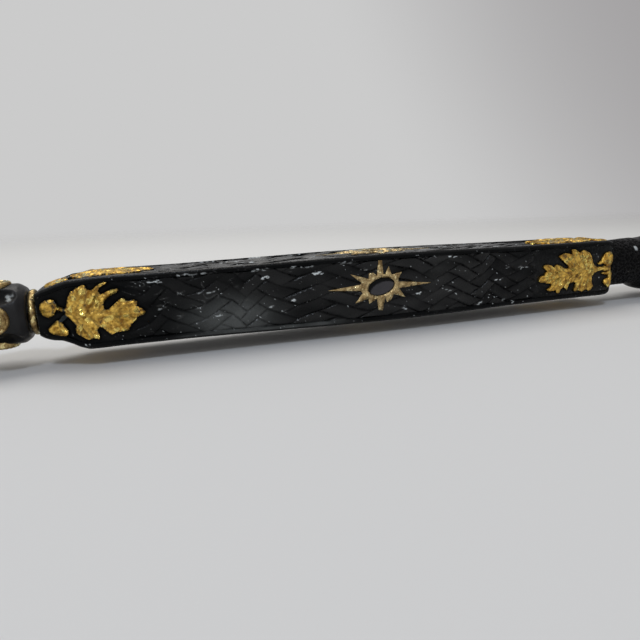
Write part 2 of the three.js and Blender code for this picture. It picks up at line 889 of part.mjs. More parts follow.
// Carved section and what its four faces and the knop's four seats carry
addPiece('carved_section', carvedSection(), lacquer);
const lowerShares = [lowerLeafShares, ...lowerAcornShares, ...lowerStemShares];
const upperShares = [upperLeafShares, ...upperAcornShares, ...upperStemShares];
const stoneBody = ovalStone();
const rosetteBody = rosette();
const beadBody = bead();
for (const { name, angle, layout } of faces) {
  const group = faceGroup(angle);
  const lowerStart = sectionStart + layout.lowerGap;
  const lowerSprig = sprig(lowerStart, 1, layout.lowerLength, lowerShares);
  const upperSprig = sprig(sectionEnd, -1, layout.upperLength, upperShares);
  addPiece(`lower_sprig_${name}`, lowerSprig, gilt, group);
  addPiece(`upper_sprig_${name}`, upperSprig, gilt, group);
  const middle = sectionMiddle + layout.shift;
  addPiece(`sunburst_${name}`, sunburst(middle, layout.rayLength), gilt, group);
  const stoneSeat = Math.max(
    floorHeight(middle - stoneLength / 2),
    floorHeight(middle),
    floorHeight(middle + stoneLength / 2),
  );
  const oval = addPiece(`oval_stone_${name}`, stoneBody, stone, group);
  oval.position.set(middle, sunburstRise, stoneSeat + fitGap);
  const flower = addPiece(`rosette_${name}`, rosetteBody, gilt, group);
  flower.position.set(knopMiddle, 0, seatHeight + fitGap);
  const eye = addPiece(`rosette_bead_${name}`, beadBody, stone, group);
  eye.position.set(knopMiddle, 0, seatHeight + fitGap);
}

// Handle
addPiece('handle_neck', handleNeck(), lacquer);
addPiece('handle_cup', handleCup(), lacquer);
addPiece('handle_nut', handleNut(), lacquer);
addPiece(
  'handle_stud',
  rodAlong(
    sectionEnd - handleStudInSection,
    nutStart + handleStudInNut,
    studDiameter / 2,
    smallSides,
  ),
  steel,
);

export default stick;
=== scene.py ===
import json
import math
import random

import bpy
import numpy as np
from mathutils import Matrix, Vector, kdtree, noise
from mathutils.geometry import delaunay_2d_cdt


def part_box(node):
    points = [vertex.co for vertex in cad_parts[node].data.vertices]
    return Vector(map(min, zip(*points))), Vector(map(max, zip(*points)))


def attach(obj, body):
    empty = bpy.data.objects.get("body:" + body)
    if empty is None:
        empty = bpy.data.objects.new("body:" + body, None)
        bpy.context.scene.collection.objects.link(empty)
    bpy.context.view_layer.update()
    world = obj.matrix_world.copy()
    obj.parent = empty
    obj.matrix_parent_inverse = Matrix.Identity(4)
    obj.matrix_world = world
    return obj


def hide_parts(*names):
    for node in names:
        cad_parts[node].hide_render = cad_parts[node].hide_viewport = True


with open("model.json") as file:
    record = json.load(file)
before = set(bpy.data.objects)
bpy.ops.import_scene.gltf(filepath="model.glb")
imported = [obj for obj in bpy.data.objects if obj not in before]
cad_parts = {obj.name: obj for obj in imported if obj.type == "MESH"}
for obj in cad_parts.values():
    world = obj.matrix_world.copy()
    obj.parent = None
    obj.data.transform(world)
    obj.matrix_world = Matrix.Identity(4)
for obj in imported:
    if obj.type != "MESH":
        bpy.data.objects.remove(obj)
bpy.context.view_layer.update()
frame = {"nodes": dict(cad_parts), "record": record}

# Lengths are in millimetres up to where a mesh is made, except where a name says metres
MM = 0.001
record = frame["record"]
body_of = {node: body for body, nodes in record["behaviour"]["bodies"].items() for node in nodes}


def span(node):
    """First and last X of a CAD node in millimetres."""
    low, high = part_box(node)
    return low.x / MM, high.x / MM


section_low, section_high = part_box("carved_section")
AXIS_HEIGHT = (section_low.z + section_high.z) / 2 / MM
SECTION_START, SECTION_END = span("carved_section")
SECTION_LENGTH = SECTION_END - SECTION_START
SECTION_WIDTH = 26.0

# Camera ---------------------------------------------------------------------------------------
# Fitted to the section's edges: place in millimetres from the section's lower end, on its axis
CAMERA_FROM_SECTION = (32.74, -186.15, 33.01)
CAMERA_YAW = 0.334522
CAMERA_PITCH = -0.229124
CAMERA_ROLL = -0.027364
FOCAL_PIXELS = 510.0
IMAGE_PIXELS = 640.0
SENSOR_MM = 36.0


def make_camera():
    forward = Vector((
        math.sin(CAMERA_YAW) * math.cos(CAMERA_PITCH),
        math.cos(CAMERA_YAW) * math.cos(CAMERA_PITCH),
        math.sin(CAMERA_PITCH),
    ))
    level = forward.cross(Vector((0, 0, 1))).normalized()
    upright = level.cross(forward)
    right = level * math.cos(CAMERA_ROLL) + upright * math.sin(CAMERA_ROLL)
    up = upright * math.cos(CAMERA_ROLL) - level * math.sin(CAMERA_ROLL)
    x, y, z = CAMERA_FROM_SECTION
    place = Vector(((x + SECTION_START) * MM, y * MM, (z + AXIS_HEIGHT) * MM))
    lens = bpy.data.cameras.new("camera")
    lens.sensor_width = SENSOR_MM
    lens.lens = SENSOR_MM * FOCAL_PIXELS / IMAGE_PIXELS
    lens.clip_start = 0.01
    camera = bpy.data.objects.new("camera", lens)
    bpy.context.scene.collection.objects.link(camera)
    turned = Matrix((right, up, -forward)).transposed().to_4x4()
    camera.matrix_world = Matrix.Translation(place) @ turned
    bpy.context.scene.camera = camera


make_camera()


# Materials ------------------------------------------------------------------------------------
def linear(hex_colour):
    """An sRGB hex value as a linear colour."""
    channels = [int(hex_colour[i:i + 2], 16) / 255 for i in (1, 3, 5)]
    curve = [c / 12.92 if c <= 0.04045 else ((c + 0.055) / 1.055) ** 2.4 for c in channels]
    return (*curve, 1.0)


def per_mm(size):
    """Texture scale in metres for a pattern of this size in millimetres."""
    return 1000.0 / size


# Sockets of a Mix node: its factor, its two numbers or colours, and its mixed colour
FACTOR, NUMBER_A, NUMBER_B, COLOUR_A, COLOUR_B, MIXED = 0, 2, 3, 6, 7, 2


def plug(tree, node, inputs):
    """Gives a node its inputs. An input is a value, or a socket to link from."""
    for key, value in inputs.items():
        if isinstance(value, bpy.types.NodeSocket):
            tree.links.new(value, node.inputs[key])
        else:
            node.inputs[key].default_value = value


def add_node(tree, kind, inputs=None, **settings):
    """Adds a node with its settings and inputs."""
    made = tree.nodes.new(kind)
    for key, value in settings.items():
        setattr(made, key, value)
    plug(tree, made, inputs or {})
    return made


def start_material(name):
    """A material, its node tree, its shader and the object-space position."""
    material = bpy.data.materials.new(name)
    material.use_nodes = True
    tree = material.node_tree
    shader = tree.nodes["Principled BSDF"]
    place = add_node(tree, "ShaderNodeTexCoord").outputs["Object"]
    return material, tree, shader, place


def tilted_facets(tree, place, size_mm, amount, normal):
    """The normal leant a little at random in each of many small facets, and the facets."""
    cells = add_node(tree, "ShaderNodeTexVoronoi", {"Vector": place, "Scale": per_mm(size_mm)})
    lean = add_node(tree, "ShaderNodeVectorMath", {
        0: cells.outputs["Color"], 1: (0.5, 0.5, 0.5)}, operation="SUBTRACT")
    lean = add_node(tree, "ShaderNodeVectorMath", {
        0: lean.outputs[0], "Scale": amount}, operation="SCALE")
    leant = add_node(tree, "ShaderNodeVectorMath", {0: normal, 1: lean.outputs[0]}, operation="ADD")
    unit = add_node(tree, "ShaderNodeVectorMath", {0: leant.outputs[0]}, operation="NORMALIZE")
    return unit.outputs[0], cells.outputs["Color"]


def make_lacquer(name, low, high, rough_low, rough_high, stipple, chipped, wear, gloss):
    # Black spirit lacquer brushed over carved hardwood: deep black with uneven shine, greyer in one
    # patch, glassy where it ran together in drops, with small chipped facets. Pale flecks are
    # painted in the drops as glints, and the grooves and hollows are painted darker as shade. low
    # and high are its tones, and the last four say how much of each it shows.
    material, tree, shader, place = start_material(name)
    patches = add_node(tree, "ShaderNodeTexNoise", {
        "Vector": place, "Scale": per_mm(9), "Detail": 4, "Roughness": 0.6})
    ripple = add_node(tree, "ShaderNodeTexNoise", {
        "Vector": place, "Scale": per_mm(2.2), "Detail": 3, "Roughness": 0.55})
    groove, drops, grey_patch, sheen = (
        add_node(tree, "ShaderNodeAttribute", attribute_name=mark).outputs["Fac"]
        for mark in ("groove", "drops", "grey_patch", "sheen"))
    wave = add_node(tree, "ShaderNodeBump", {
        "Height": ripple.outputs[0], "Strength": 0.35, "Distance": 0.0004})
    grain = add_node(tree, "ShaderNodeTexNoise", {
        "Vector": place, "Scale": per_mm(0.5), "Detail": 2, "Roughness": 0.5})
    fine = add_node(tree, "ShaderNodeBump", {
        "Height": grain.outputs[0], "Strength": stipple, "Distance": 0.0002,
        "Normal": wave.outputs[0]})
    steep = add_node(tree, "ShaderNodeMath", {
        0: drops, 1: 0.9, 2: chipped}, operation="MULTIPLY_ADD")
    normal, _ = tilted_facets(tree, place, 0.45, steep.outputs[0], fine.outputs[0])
    lit = add_node(tree, "ShaderNodeMapRange", {
        "Value": patches.outputs[0], "From Min": 0.35, "From Max": 0.7})
    edge = add_node(tree, "ShaderNodeMapRange", {
        "Value": add_node(tree, "ShaderNodeNewGeometry").outputs["Pointiness"],
        "From Min": 0.53, "From Max": 0.62})
    scuff = add_node(tree, "ShaderNodeMath", {
        0: edge.outputs[0],
        1: add_node(tree, "ShaderNodeMapRange", {
            "Value": ripple.outputs[0], "From Min": 0.5, "From Max": 0.62,
            "To Max": wear}).outputs[0]}, operation="MULTIPLY")
    # Painted glints: pale flecks where the drops mark is high
    painted_glint_flecks = add_node(tree, "ShaderNodeMapRange", {
        "Value": drops, "From Min": 0.3, "From Max": 0.85})
    tone = linear(low)
    # Painted shade: the groove mark darkens grooves and hollows to near black
    for share, colour in (
        (lit.outputs[0], high), (grey_patch, "#515454"), (groove, "#070708"),
        (scuff.outputs[0], "#8b8880"), (painted_glint_flecks.outputs[0], "#dfe8ec"),
    ):
        tone = add_node(tree, "ShaderNodeMix", {
            FACTOR: share, COLOUR_A: tone, COLOUR_B: linear(colour)},
            data_type="RGBA").outputs[MIXED]
    dull = add_node(tree, "ShaderNodeMapRange", {
        "Value": patches.outputs[0], "From Min": 0.3, "From Max": 0.75,
        "To Min": rough_low, "To Max": rough_high})
    glassy = add_node(tree, "ShaderNodeMix", {
        FACTOR: drops, NUMBER_A: dull.outputs[0], NUMBER_B: 0.16})
    brushed = add_node(tree, "ShaderNodeMath", {
        0: sheen, 1: gloss, 2: gloss}, operation="MULTIPLY_ADD")
    # Painted shade: grooves and hollows also reflect less
    sunk = add_node(tree, "ShaderNodeMapRange", {
        "Value": groove, "To Min": 1.0, "To Max": 0.25})
    bright = add_node(tree, "ShaderNodeMath", {
        0: brushed.outputs[0], 1: sunk.outputs[0], 2: drops},
        operation="MULTIPLY_ADD")
    plug(tree, shader, {
        "Base Color": tone, "Roughness": glassy.outputs[0], "IOR": 1.52,
        "Specular IOR Level": bright.outputs[0], "Normal": normal})
    return material


def make_gold(name, painted_glint, bright, dark, rub, foil_mm, foil_tilt, rubbed):
    # Gold leaf laid on carved wood over red-brown bole: a metal that keeps the leaf's small flat
    # creases, which glint one by one, and shows the brown ground where it is rubbed through. A few
    # crease facets have a pale glint colour painted on as highlights, and the ink mark also paints
    # shade in the folds and beside the ribs.
    # Creases are foil_mm apart and lean by foil_tilt, and a lower rubbed shows more ground.
    material, tree, shader, place = start_material(name)
    tint = add_node(tree, "ShaderNodeTexNoise", {
        "Vector": place, "Scale": per_mm(2.4), "Detail": 3, "Roughness": 0.6})
    crinkle = add_node(tree, "ShaderNodeTexNoise", {
        "Vector": place, "Scale": per_mm(foil_mm / 2), "Detail": 3, "Roughness": 0.6,
        "Distortion": 0.6})
    spots = add_node(tree, "ShaderNodeTexNoise", {
        "Vector": place, "Scale": per_mm(1.5), "Detail": 3, "Roughness": 0.65})
    # The ink mark is black paint, and also painted shade in the leaves' folds and beside their ribs
    ink = add_node(tree, "ShaderNodeAttribute", attribute_name="ink").outputs["Fac"]
    foil = add_node(tree, "ShaderNodeBump", {
        "Height": crinkle.outputs[0], "Strength": 0.4, "Distance": 0.0004})
    creased, cells = tilted_facets(tree, place, foil_mm, foil_tilt, foil.outputs[0])
    normal, grains = tilted_facets(tree, place, foil_mm * 0.4, foil_tilt * 0.4, creased)
    mottled = add_node(tree, "ShaderNodeMath", {
        0: grains, 1: 0.16, 2: tint.outputs[0]}, operation="MULTIPLY_ADD")
    shade = add_node(tree, "ShaderNodeMapRange", {
        "Value": mottled.outputs[0], "From Min": 0.42, "From Max": 0.7})
    painted_glint_share = add_node(tree, "ShaderNodeMapRange", {
        "Value": cells, "From Min": 0.74, "From Max": 0.78})
    bare = add_node(tree, "ShaderNodeMapRange", {
        "Value": spots.outputs[0], "From Min": rubbed, "From Max": rubbed + 0.14})
    tone = linear(dark)
    for share, colour in (
        (shade.outputs[0], bright), (painted_glint_share.outputs[0], painted_glint), (bare.outputs[0], rub),
        (ink, "#0d0c0b"),
    ):
        tone = add_node(tree, "ShaderNodeMix", {
            FACTOR: share, COLOUR_A: tone, COLOUR_B: linear(colour)},
            data_type="RGBA").outputs[MIXED]
    covered = add_node(tree, "ShaderNodeMath", {
        0: bare.outputs[0], 1: ink}, operation="MAXIMUM")
    metal = add_node(tree, "ShaderNodeMapRange", {
        "Value": covered.outputs[0], "To Min": 0.92, "To Max": 0.1})
    rough = add_node(tree, "ShaderNodeMapRange", {
        "Value": painted_glint_share.outputs[0], "To Min": 0.36, "To Max": 0.13})
    plug(tree, shader, {
        "Base Color": tone, "Metallic": metal.outputs[0], "Roughness": rough.outputs[0],
        # Thin leaf is paler where it is seen from low down
        "Specular Tint": linear("#e0f5ff"), "Normal": normal})
    return material


def make_metal(name, colour, tarnish, rough_low, rough_high, turning_mm):
    # Turned metal: fine rings round the stick's axis from the lathe, and a little tarnish
    material, tree, shader, place = start_material(name)
    turning = add_node(tree, "ShaderNodeTexWave", {
        "Vector": place, "Scale": per_mm(turning_mm) / 20, "Distortion": 1.5,
        "Detail": 2}, bands_direction="X")
    stain = add_node(tree, "ShaderNodeTexNoise", {
        "Vector": place, "Scale": per_mm(4), "Detail": 5, "Roughness": 0.7})
    amount = add_node(tree, "ShaderNodeMapRange", {
        "Value": stain.outputs[0], "From Min": 0.45, "From Max": 0.7})
    tone = add_node(tree, "ShaderNodeMix", {
        FACTOR: amount.outputs[0], COLOUR_A: linear(colour), COLOUR_B: linear(tarnish)},
        data_type="RGBA")
    rough = add_node(tree, "ShaderNodeMapRange", {
        "Value": stain.outputs[0], "From Min": 0.35, "From Max": 0.7,
        "To Min": rough_low, "To Max": rough_high})
    rings = add_node(tree, "ShaderNodeBump", {
        "Height": turning.outputs[0], "Strength": 0.12, "Distance": 0.0001})
    plug(tree, shader, {
        "Base Color": tone.outputs[MIXED], "Metallic": 1.0, "Roughness": rough.outputs[0],
        "Normal": rings.outputs[0]})
    return material


def make_rubber():
    # Moulded natural rubber: matte black, finely pitted, greyer where it is scuffed by the ground
    material, tree, shader, place = start_material("moulded_rubber")
    bloom = add_node(tree, "ShaderNodeTexNoise", {
        "Vector": place, "Scale": per_mm(7), "Detail": 6, "Roughness": 0.7})
    pits = add_node(tree, "ShaderNodeTexNoise", {
        "Vector": place, "Scale": per_mm(0.7), "Detail": 2, "Roughness": 0.5})
    amount = add_node(tree, "ShaderNodeMapRange", {
        "Value": bloom.outputs[0], "From Min": 0.4, "From Max": 0.75})
    tone = add_node(tree, "ShaderNodeMix", {
        FACTOR: amount.outputs[0], COLOUR_A: linear("#1c1c1d"), COLOUR_B: linear("#38383a")},
        data_type="RGBA")
    rough = add_node(tree, "ShaderNodeMapRange", {
        "Value": bloom.outputs[0], "To Min": 0.62, "To Max": 0.88})
    fine = add_node(tree, "ShaderNodeBump", {
        "Height": pits.outputs[0], "Strength": 0.3, "Distance": 0.0002})
    plug(tree, shader, {
        "Base Color": tone.outputs[MIXED], "Roughness": rough.outputs[0], "IOR": 1.52,
        "Normal": fine.outputs[0]})
    return material


def make_stone():
    # Polished onyx: violet-grey body, hard gloss and faint clouds, with a black crescent painted on
    # as the shadow that the collar casts on it
    material, tree, shader, place = start_material("polished_onyx")
    cloud = add_node(tree, "ShaderNodeTexNoise", {
        "Vector": place, "Scale": per_mm(4), "Detail": 4, "Distortion": 1.2})
    shadow_crescent = add_node(tree, "ShaderNodeAttribute", attribute_name="shadow_crescent").outputs["Fac"]
    tone = add_node(tree, "ShaderNodeMix", {
        FACTOR: cloud.outputs[0], COLOUR_A: linear("#2c2a2f"), COLOUR_B: linear("#38363b")},
        data_type="RGBA")
    banded = add_node(tree, "ShaderNodeMix", {
        FACTOR: shadow_crescent, COLOUR_A: tone.outputs[MIXED], COLOUR_B: linear("#060606")},
        data_type="RGBA")
    haze = add_node(tree, "ShaderNodeMapRange", {
        "Value": cloud.outputs[0], "To Min": 0.14, "To Max": 0.28})
    level = add_node(tree, "ShaderNodeMapRange", {
        "Value": shadow_crescent, "To Min": 0.38, "To Max": 0.1})
    plug(tree, shader, {
        "Base Color": banded.outputs[MIXED], "Roughness": haze.outputs[0], "IOR": 1.54,
        "Specular IOR Level": level.outputs[0]})
    return material


section_lacquer = make_lacquer(
    "lacquered_carved_wood", low="#08090a", high="#121314", rough_low=0.2, rough_high=0.38,
    stipple=0.25, chipped=0.2, wear=0.25, gloss=0.2)
turned_lacquer = make_lacquer(
    "lacquered_turned_wood", low="#121213", high="#1d1d1f", rough_low=0.3, rough_high=0.5,
    stipple=0.12, chipped=0.04, wear=0.35, gloss=0.26)
stippled_lacquer = make_lacquer(
    "lacquered_stippled_wood", low="#040405", high="#0b0b0c", rough_low=0.26, rough_high=0.42,
    stipple=0.3, chipped=0.35, wear=0.2, gloss=0.08)
leaf_gold = make_gold(
    "gold_leaf_on_bole", painted_glint="#ffe27c", bright="#f7ca60", dark="#9c702a", rub="#523512",
    foil_mm=1.5, foil_tilt=0.8, rubbed=0.575)
sun_gold = make_gold(
    "gold_leaf_pale", painted_glint="#ecdaa6", bright="#cdb584", dark="#876e48", rub="#43321f",
    foil_mm=0.9, foil_tilt=0.5, rubbed=0.57)
ring_gold = make_gold(
    "gilt_turned_brass", painted_glint="#e2cf94", bright="#bfa56f", dark="#755c38", rub="#43321f",
    foil_mm=1.2, foil_tilt=0.35, rubbed=0.58)
brass = make_metal(
    "turned_brass", colour="#c8a558", tarnish="#8f7338", rough_low=0.22, rough_high=0.4,
    turning_mm=0.4)
steel = make_metal(
    "turned_steel", colour="#b9bcc0", tarnish="#8b8e92", rough_low=0.24, rough_high=0.38,
    turning_mm=0.3)
rubber = make_rubber()
onyx = make_stone()


# Pieces ---------------------------------------------------------------------------------------
def outward(points, faces):
    """The faces with their order turned where the closed surface would face inwards."""
    volume = 0.0
    for size in (3, 4):
        group = np.array([f for f in faces if len(f) == size])
        if len(group) == 0:
            continue
        for k in range(1, size - 1):
            a, b, c = points[group[:, 0]], points[group[:, k]], points[group[:, k + 1]]
            volume += float(np.einsum("ij,ij->i", a, np.cross(b, c)).sum())
    return faces if volume > 0 else [tuple(reversed(f)) for f in faces]


def add_piece(node, finish, points, faces, material, sharp, marks=None):
    """A closed mesh from points in millimetres about the stick's axis, in place of a CAD node.
    Edges of more than sharp degrees stay crisp. marks are values at the points, which the
    material reads by name."""
    world = (points + (0, 0, AXIS_HEIGHT)) * MM
    name = f"{node}_{finish}"
    mesh = bpy.data.meshes.new(name)
    mesh.from_pydata(world.tolist(), [], outward(points, faces))
    mesh.update()
    mesh.shade_smooth()
    mesh.set_sharp_from_angle(angle=math.radians(sharp))
    for key, values in (marks or {}).items():
        mark = mesh.attributes.new(key, "FLOAT", "POINT")
        mark.data.foreach_set("value", np.asarray(values, np.float32))
    mesh.materials.append(material)
    piece = bpy.data.objects.new(name, mesh)
    bpy.context.scene.collection.objects.link(piece)
    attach(piece, body_of[node])
    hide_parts(node)


def ring_body(rings, ends=None):
    """A body over rings of points, in order: fanned shut to a point at each end or, without
    ends, joined from its last ring to its first."""
    rings = np.asarray(rings, float)
    rows, count = rings.shape[:2]
    points = rings.reshape(-1, 3)
    first, last = len(points), (rows - 1) * count
    faces = []
    for j in range(count):
        k = (j + 1) % count
        for row in range(rows - 1 if ends else rows):
            a, b = row * count, (row + 1) % rows * count
            faces.append((a + j, a + k, b + k, b + j))
        if ends:
            faces += [(first, k, j), (first + 1, last + j, last + k)]
    return (np.vstack([points, ends]) if ends else points), faces


def spun(profile, sides):
    """A profile's two measures, and the angle, at each point of a body turned from it."""
    profile = np.asarray(profile, float)
    angles = np.linspace(0, 2 * math.pi, sides, endpoint=False)
    measure, angle = np.meshgrid(profile[:, 0], angles, indexing="ij")
    return measure, np.repeat(profile[:, 1:2], sides, 1), angle


def add_turned(node, finish, profile, worked, material, sides, sharp, closed_ring=False):
    """A piece turned about X from [x, radius] points. worked(x, radius, angle) gives the radius
    after carving, and the marks of its finish. A closed ring joins its last profile point to
    its first; otherwise both ends are capped."""
    x, radius, angle = spun(profile, sides)
    radius, marks = worked(x, radius, angle)
    rings = np.stack([x, radius * np.cos(angle), radius * np.sin(angle)], -1)
    ends = None if closed_ring else [(x[0, 0], 0, 0), (x[-1, 0], 0, 0)]
    points, faces = ring_body(rings, ends)
    caps = np.zeros(len(points) - radius.size)
    marks = {key: np.append(mark, caps) for key, mark in marks.items()}
    add_piece(node, finish, points, faces, material, sharp, marks)


def arc(x, y, wide, high, start, end, steps):
    """Points round part of an ellipse, from one angle to another in quarter turns."""
    turns = np.linspace(start, end, steps + 1) * math.pi / 2
    return np.column_stack([x + wide * np.cos(turns), y + high * np.sin(turns)]).tolist()


def soften(profile, radius, steps=4):
    """The profile with each inner corner rounded."""
    profile = np.asarray(profile, float)
    out = [profile[0]]
    for before, corner, after in zip(profile, profile[1:], profile[2:]):
        arms = []
        for other in (before, after):
            length = np.linalg.norm(other - corner)
            arms.append(corner + (other - corner) * min(radius / max(length, 1e-6), 0.45))
        for i in range(steps + 1):
            t = i / steps
            out.append((1 - t) ** 2 * arms[0] + 2 * t * (1 - t) * corner + t ** 2 * arms[1])
    out.append(profile[-1])
    return np.array(out)


def refine(profile, step):
    """The profile with points no further apart than step."""
    out = [np.asarray(profile[0], float)]
    for target in profile[1:]:
        target = np.asarray(target, float)
        count = max(1, math.ceil(np.linalg.norm(target - out[-1]) / step))
        begin = out[-1]
        for i in range(1, count + 1):
            out.append(begin + (target - begin) * i / count)
    return np.array(out)


def ramp(value, start, end):
    """From 0 at start to 1 at end, eased at both, whichever of them is the higher."""
    share = np.clip((value - start) / (end - start), 0, 1)
    return share * share * (3 - 2 * share)


def bell(value, width):
    """1 at zero, falling away on both sides over this width."""
    return np.exp(-((value / width) ** 2))


def blurred(values, kernel):
    """Values smoothed by a kernel, with both ends held where they are."""
    width = len(kernel) // 2
    padded = np.concatenate([
        2 * values[0] - values[width:0:-1], values, 2 * values[-1] - values[-2:-width - 2:-1]])
    return np.convolve(padded, kernel / kernel.sum(), "valid")


def ripple_noise(x, y, z, size):
    """Smooth noise from -1 to 1 at these points, in features of this size."""
    places = np.stack(np.broadcast_arrays(x, y, z), -1) / size
    values = [noise.noise(place) for place in places.reshape(-1, 3).tolist()]
    return np.reshape(values, places.shape[:-1])


def round_noise(x, radius, angle, size):
    """Smooth noise over a turned surface."""
    return ripple_noise(x, radius * np.cos(angle), radius * np.sin(angle), size)


# Half-width of the section along its length, and depth of its faces, as the CAD has them:
# millimetres from its lower end, share of the full half-width, share of the depth
LOWER_TAPER = 21.0
UPPER_ROUND = 6.0
PANEL_DEPTH = 0.5
CORNER_RADIUS = 1.0
MARGIN = 0.85
FINE_STEP = 0.2
BLUR = 0.9
BLUR_STEPS = 10
taper_shares = [
    (0, 0.53, 0), (0.045, 0.58, 0.3), (0.12, 0.63, 0.7), (0.33, 0.712, 1), (0.52, 0.825, 1),
    (0.7, 0.892, 1), (0.87, 0.902, 1)]
middle_shares = [
    (0, 0.902, 1), (0.12, 0.908, 1), (0.25, 0.945, 1), (0.38, 0.982, 1), (0.5, 1, 1),
    (0.62, 0.99, 1), (0.75, 0.962, 1), (0.88, 0.95, 1), (1, 0.952, 1)]
round_shares = [(0.35, 0.945, 1), (0.65, 0.912, 0.8), (0.87, 0.855, 0.4), (1, 0.78, 0)]
stations = np.array([
    (start + along * length, width * SECTION_WIDTH / 2, depth * PANEL_DEPTH)
    for shares, start, length in (
        (taper_shares, 0, LOWER_TAPER),
        (middle_shares, LOWER_TAPER, SECTION_LENGTH - LOWER_TAPER - UPPER_ROUND),
        (round_shares, SECTION_LENGTH - UPPER_ROUND, UPPER_ROUND))
    for along, width, depth in shares])
fine_along = np.arange(0, SECTION_LENGTH + 0.01, FINE_STEP)
kernel = np.exp(-0.5 * (np.arange(-BLUR_STEPS, BLUR_STEPS + 1) * FINE_STEP / BLUR) ** 2)
half_curve, depth_curve = (
    np.maximum(blurred(np.interp(fine_along, stations[:, 0], stations[:, column]), kernel), 0)
    for column in (1, 2))


def half_at(along):
    """Half-width of the section."""
    return np.interp(along, fine_along, half_curve)


def floor_at(along):
    """Height of the sunk face above the axis."""
    return half_at(along) - np.interp(along, fine_along, depth_curve)


# Outlines of the ornaments: shares of length and of half-width --------------------------------
SPRIG_HALF = middle_shares[0][1] * SECTION_WIDTH / 2 - CORNER_RADIUS - MARGIN
lower_leaf = [
    (0.263, 0.09), (0.302, 0.53), (0.331, 0.71), (0.399, 0.88), (0.447, 0.98), (0.467, 0.94),
    (0.481, 0.81), (0.506, 0.77), (0.535, 0.79), (0.564, 0.88), (0.612, 0.97), (0.67, 0.99),
    (0.651, 0.93), (0.593, 0.84), (0.578, 0.71), (0.603, 0.6), (0.651, 0.67), (0.709, 0.75),
    (0.753, 0.75), (0.764, 0.69), (0.738, 0.6), (0.68, 0.53), (0.636, 0.43), (0.612, 0.29),
    (0.614, 0.13), (0.641, 0.07), (0.68, 0.15), (0.729, 0.29), (0.777, 0.41), (0.806, 0.43),
    (0.816, 0.34), (0.855, 0.31), (0.893, 0.35), (0.929, 0.26), (0.915, 0.12), (0.961, 0.04),
    (1, -0.11), (0.971, -0.21), (0.922, -0.23), (0.893, -0.35), (0.845, -0.49), (0.823, -0.67),
    (0.752, -0.69), (0.703, -0.69), (0.658, -0.77), (0.63, -0.67), (0.593, -0.51),
    (0.557, -0.44), (0.532, -0.53), (0.544, -0.73), (0.544, -0.86), (0.502, -0.81),
    (0.434, -0.83), (0.391, -0.73), (0.34, -0.65), (0.333, -0.49), (0.354, -0.4),
    (0.29, -0.15), (0.263, 0)]
lower_acorns = [
    [(0.033, 0.25), (0.049, 0.39), (0.088, 0.48), (0.132, 0.5), (0.17, 0.44), (0.19, 0.3),
     (0.184, 0.13), (0.151, -0.04), (0.103, -0.09), (0.059, -0.02), (0.038, 0.1)],
    [(0.178, -0.19), (0.125, -0.34), (0.086, -0.46), (0.091, -0.56), (0.154, -0.7),
     (0.232, -0.77), (0.266, -0.68), (0.264, -0.57), (0.222, -0.34)]]
lower_stems = [
    [(0.158, 0.19), (0.178, 0.24), (0.283, 0.12), (0.283, 0.01), (0.244, 0.02)],
    [(0.283, 0.09), (0.183, -0.26), (0.208, -0.33), (0.312, -0.02)]]
upper_leaf = [
    (1, -0.31), (0.979, -0.14), (0.961, -0.09), (0.932, -0.11), (0.919, -0.01), (0.898, 0.09),
    (0.949, 0.27), (0.94, 0.35), (0.907, 0.38), (0.858, 0.33), (0.81, 0.21), (0.791, 0.33),
    (0.767, 0.34), (0.73, 0.27), (0.694, 0.17), (0.647, 0.12), (0.617, 0.14), (0.629, 0.24),
    (0.67, 0.37), (0.719, 0.54), (0.757, 0.67), (0.742, 0.75), (0.682, 0.82), (0.633, 0.78),
    (0.592, 0.74), (0.598, 0.89), (0.61, 0.95), (0.573, 0.96), (0.538, 0.91), (0.502, 0.79),
    (0.478, 0.83), (0.452, 0.9), (0.418, 0.86), (0.369, 0.76), (0.339, 0.59), (0.32, 0.37),
    (0.295, 0.19), (0.26, 0.1), (0.2, 0.07), (0.108, 0.08), (0.108, -0.09), (0.174, -0.06),
    (0.248, -0.1), (0.283, -0.18), (0.313, -0.34), (0.309, -0.56), (0.29, -0.77),
    (0.309, -0.92), (0.343, -0.97), (0.369, -0.87), (0.404, -0.92), (0.434, -0.99),
    (0.46, -0.92), (0.49, -0.89), (0.525, -0.94), (0.538, -0.87), (0.52, -0.67),
    (0.525, -0.51), (0.562, -0.49), (0.598, -0.54), (0.615, -0.67), (0.629, -0.84),
    (0.652, -0.75), (0.682, -0.67), (0.708, -0.77), (0.73, -0.94), (0.761, -0.92),
    (0.773, -0.77), (0.803, -0.8), (0.863, -0.8), (0.891, -0.73), (0.858, -0.68),
    (0.828, -0.57), (0.84, -0.46), (0.9, -0.44), (0.937, -0.38), (0.972, -0.39)]
upper_acorns = [
    [(0.068, 0.06), (0.039, 0.14), (0.019, 0.34), (0.025, 0.55), (0.058, 0.71), (0.102, 0.75),
     (0.15, 0.68), (0.184, 0.5), (0.192, 0.37), (0.242, 0.25), (0.228, 0.17), (0.175, 0.25),
     (0.136, 0.18), (0.107, 0.07)],
    [(0.066, -0.07), (0.027, -0.2), (0.01, -0.45), (0.012, -0.72), (0.042, -0.9), (0.08, -0.9),
     (0.119, -0.75), (0.146, -0.63), (0.129, -0.53), (0.08, -0.46), (0.085, -0.3),
     (0.128, -0.29), (0.177, -0.23), (0.168, -0.17), (0.114, -0.18)]]
upper_stems = [[(0.058, 0.12), (0.15, 0.1), (0.15, -0.1), (0.058, -0.12)]]

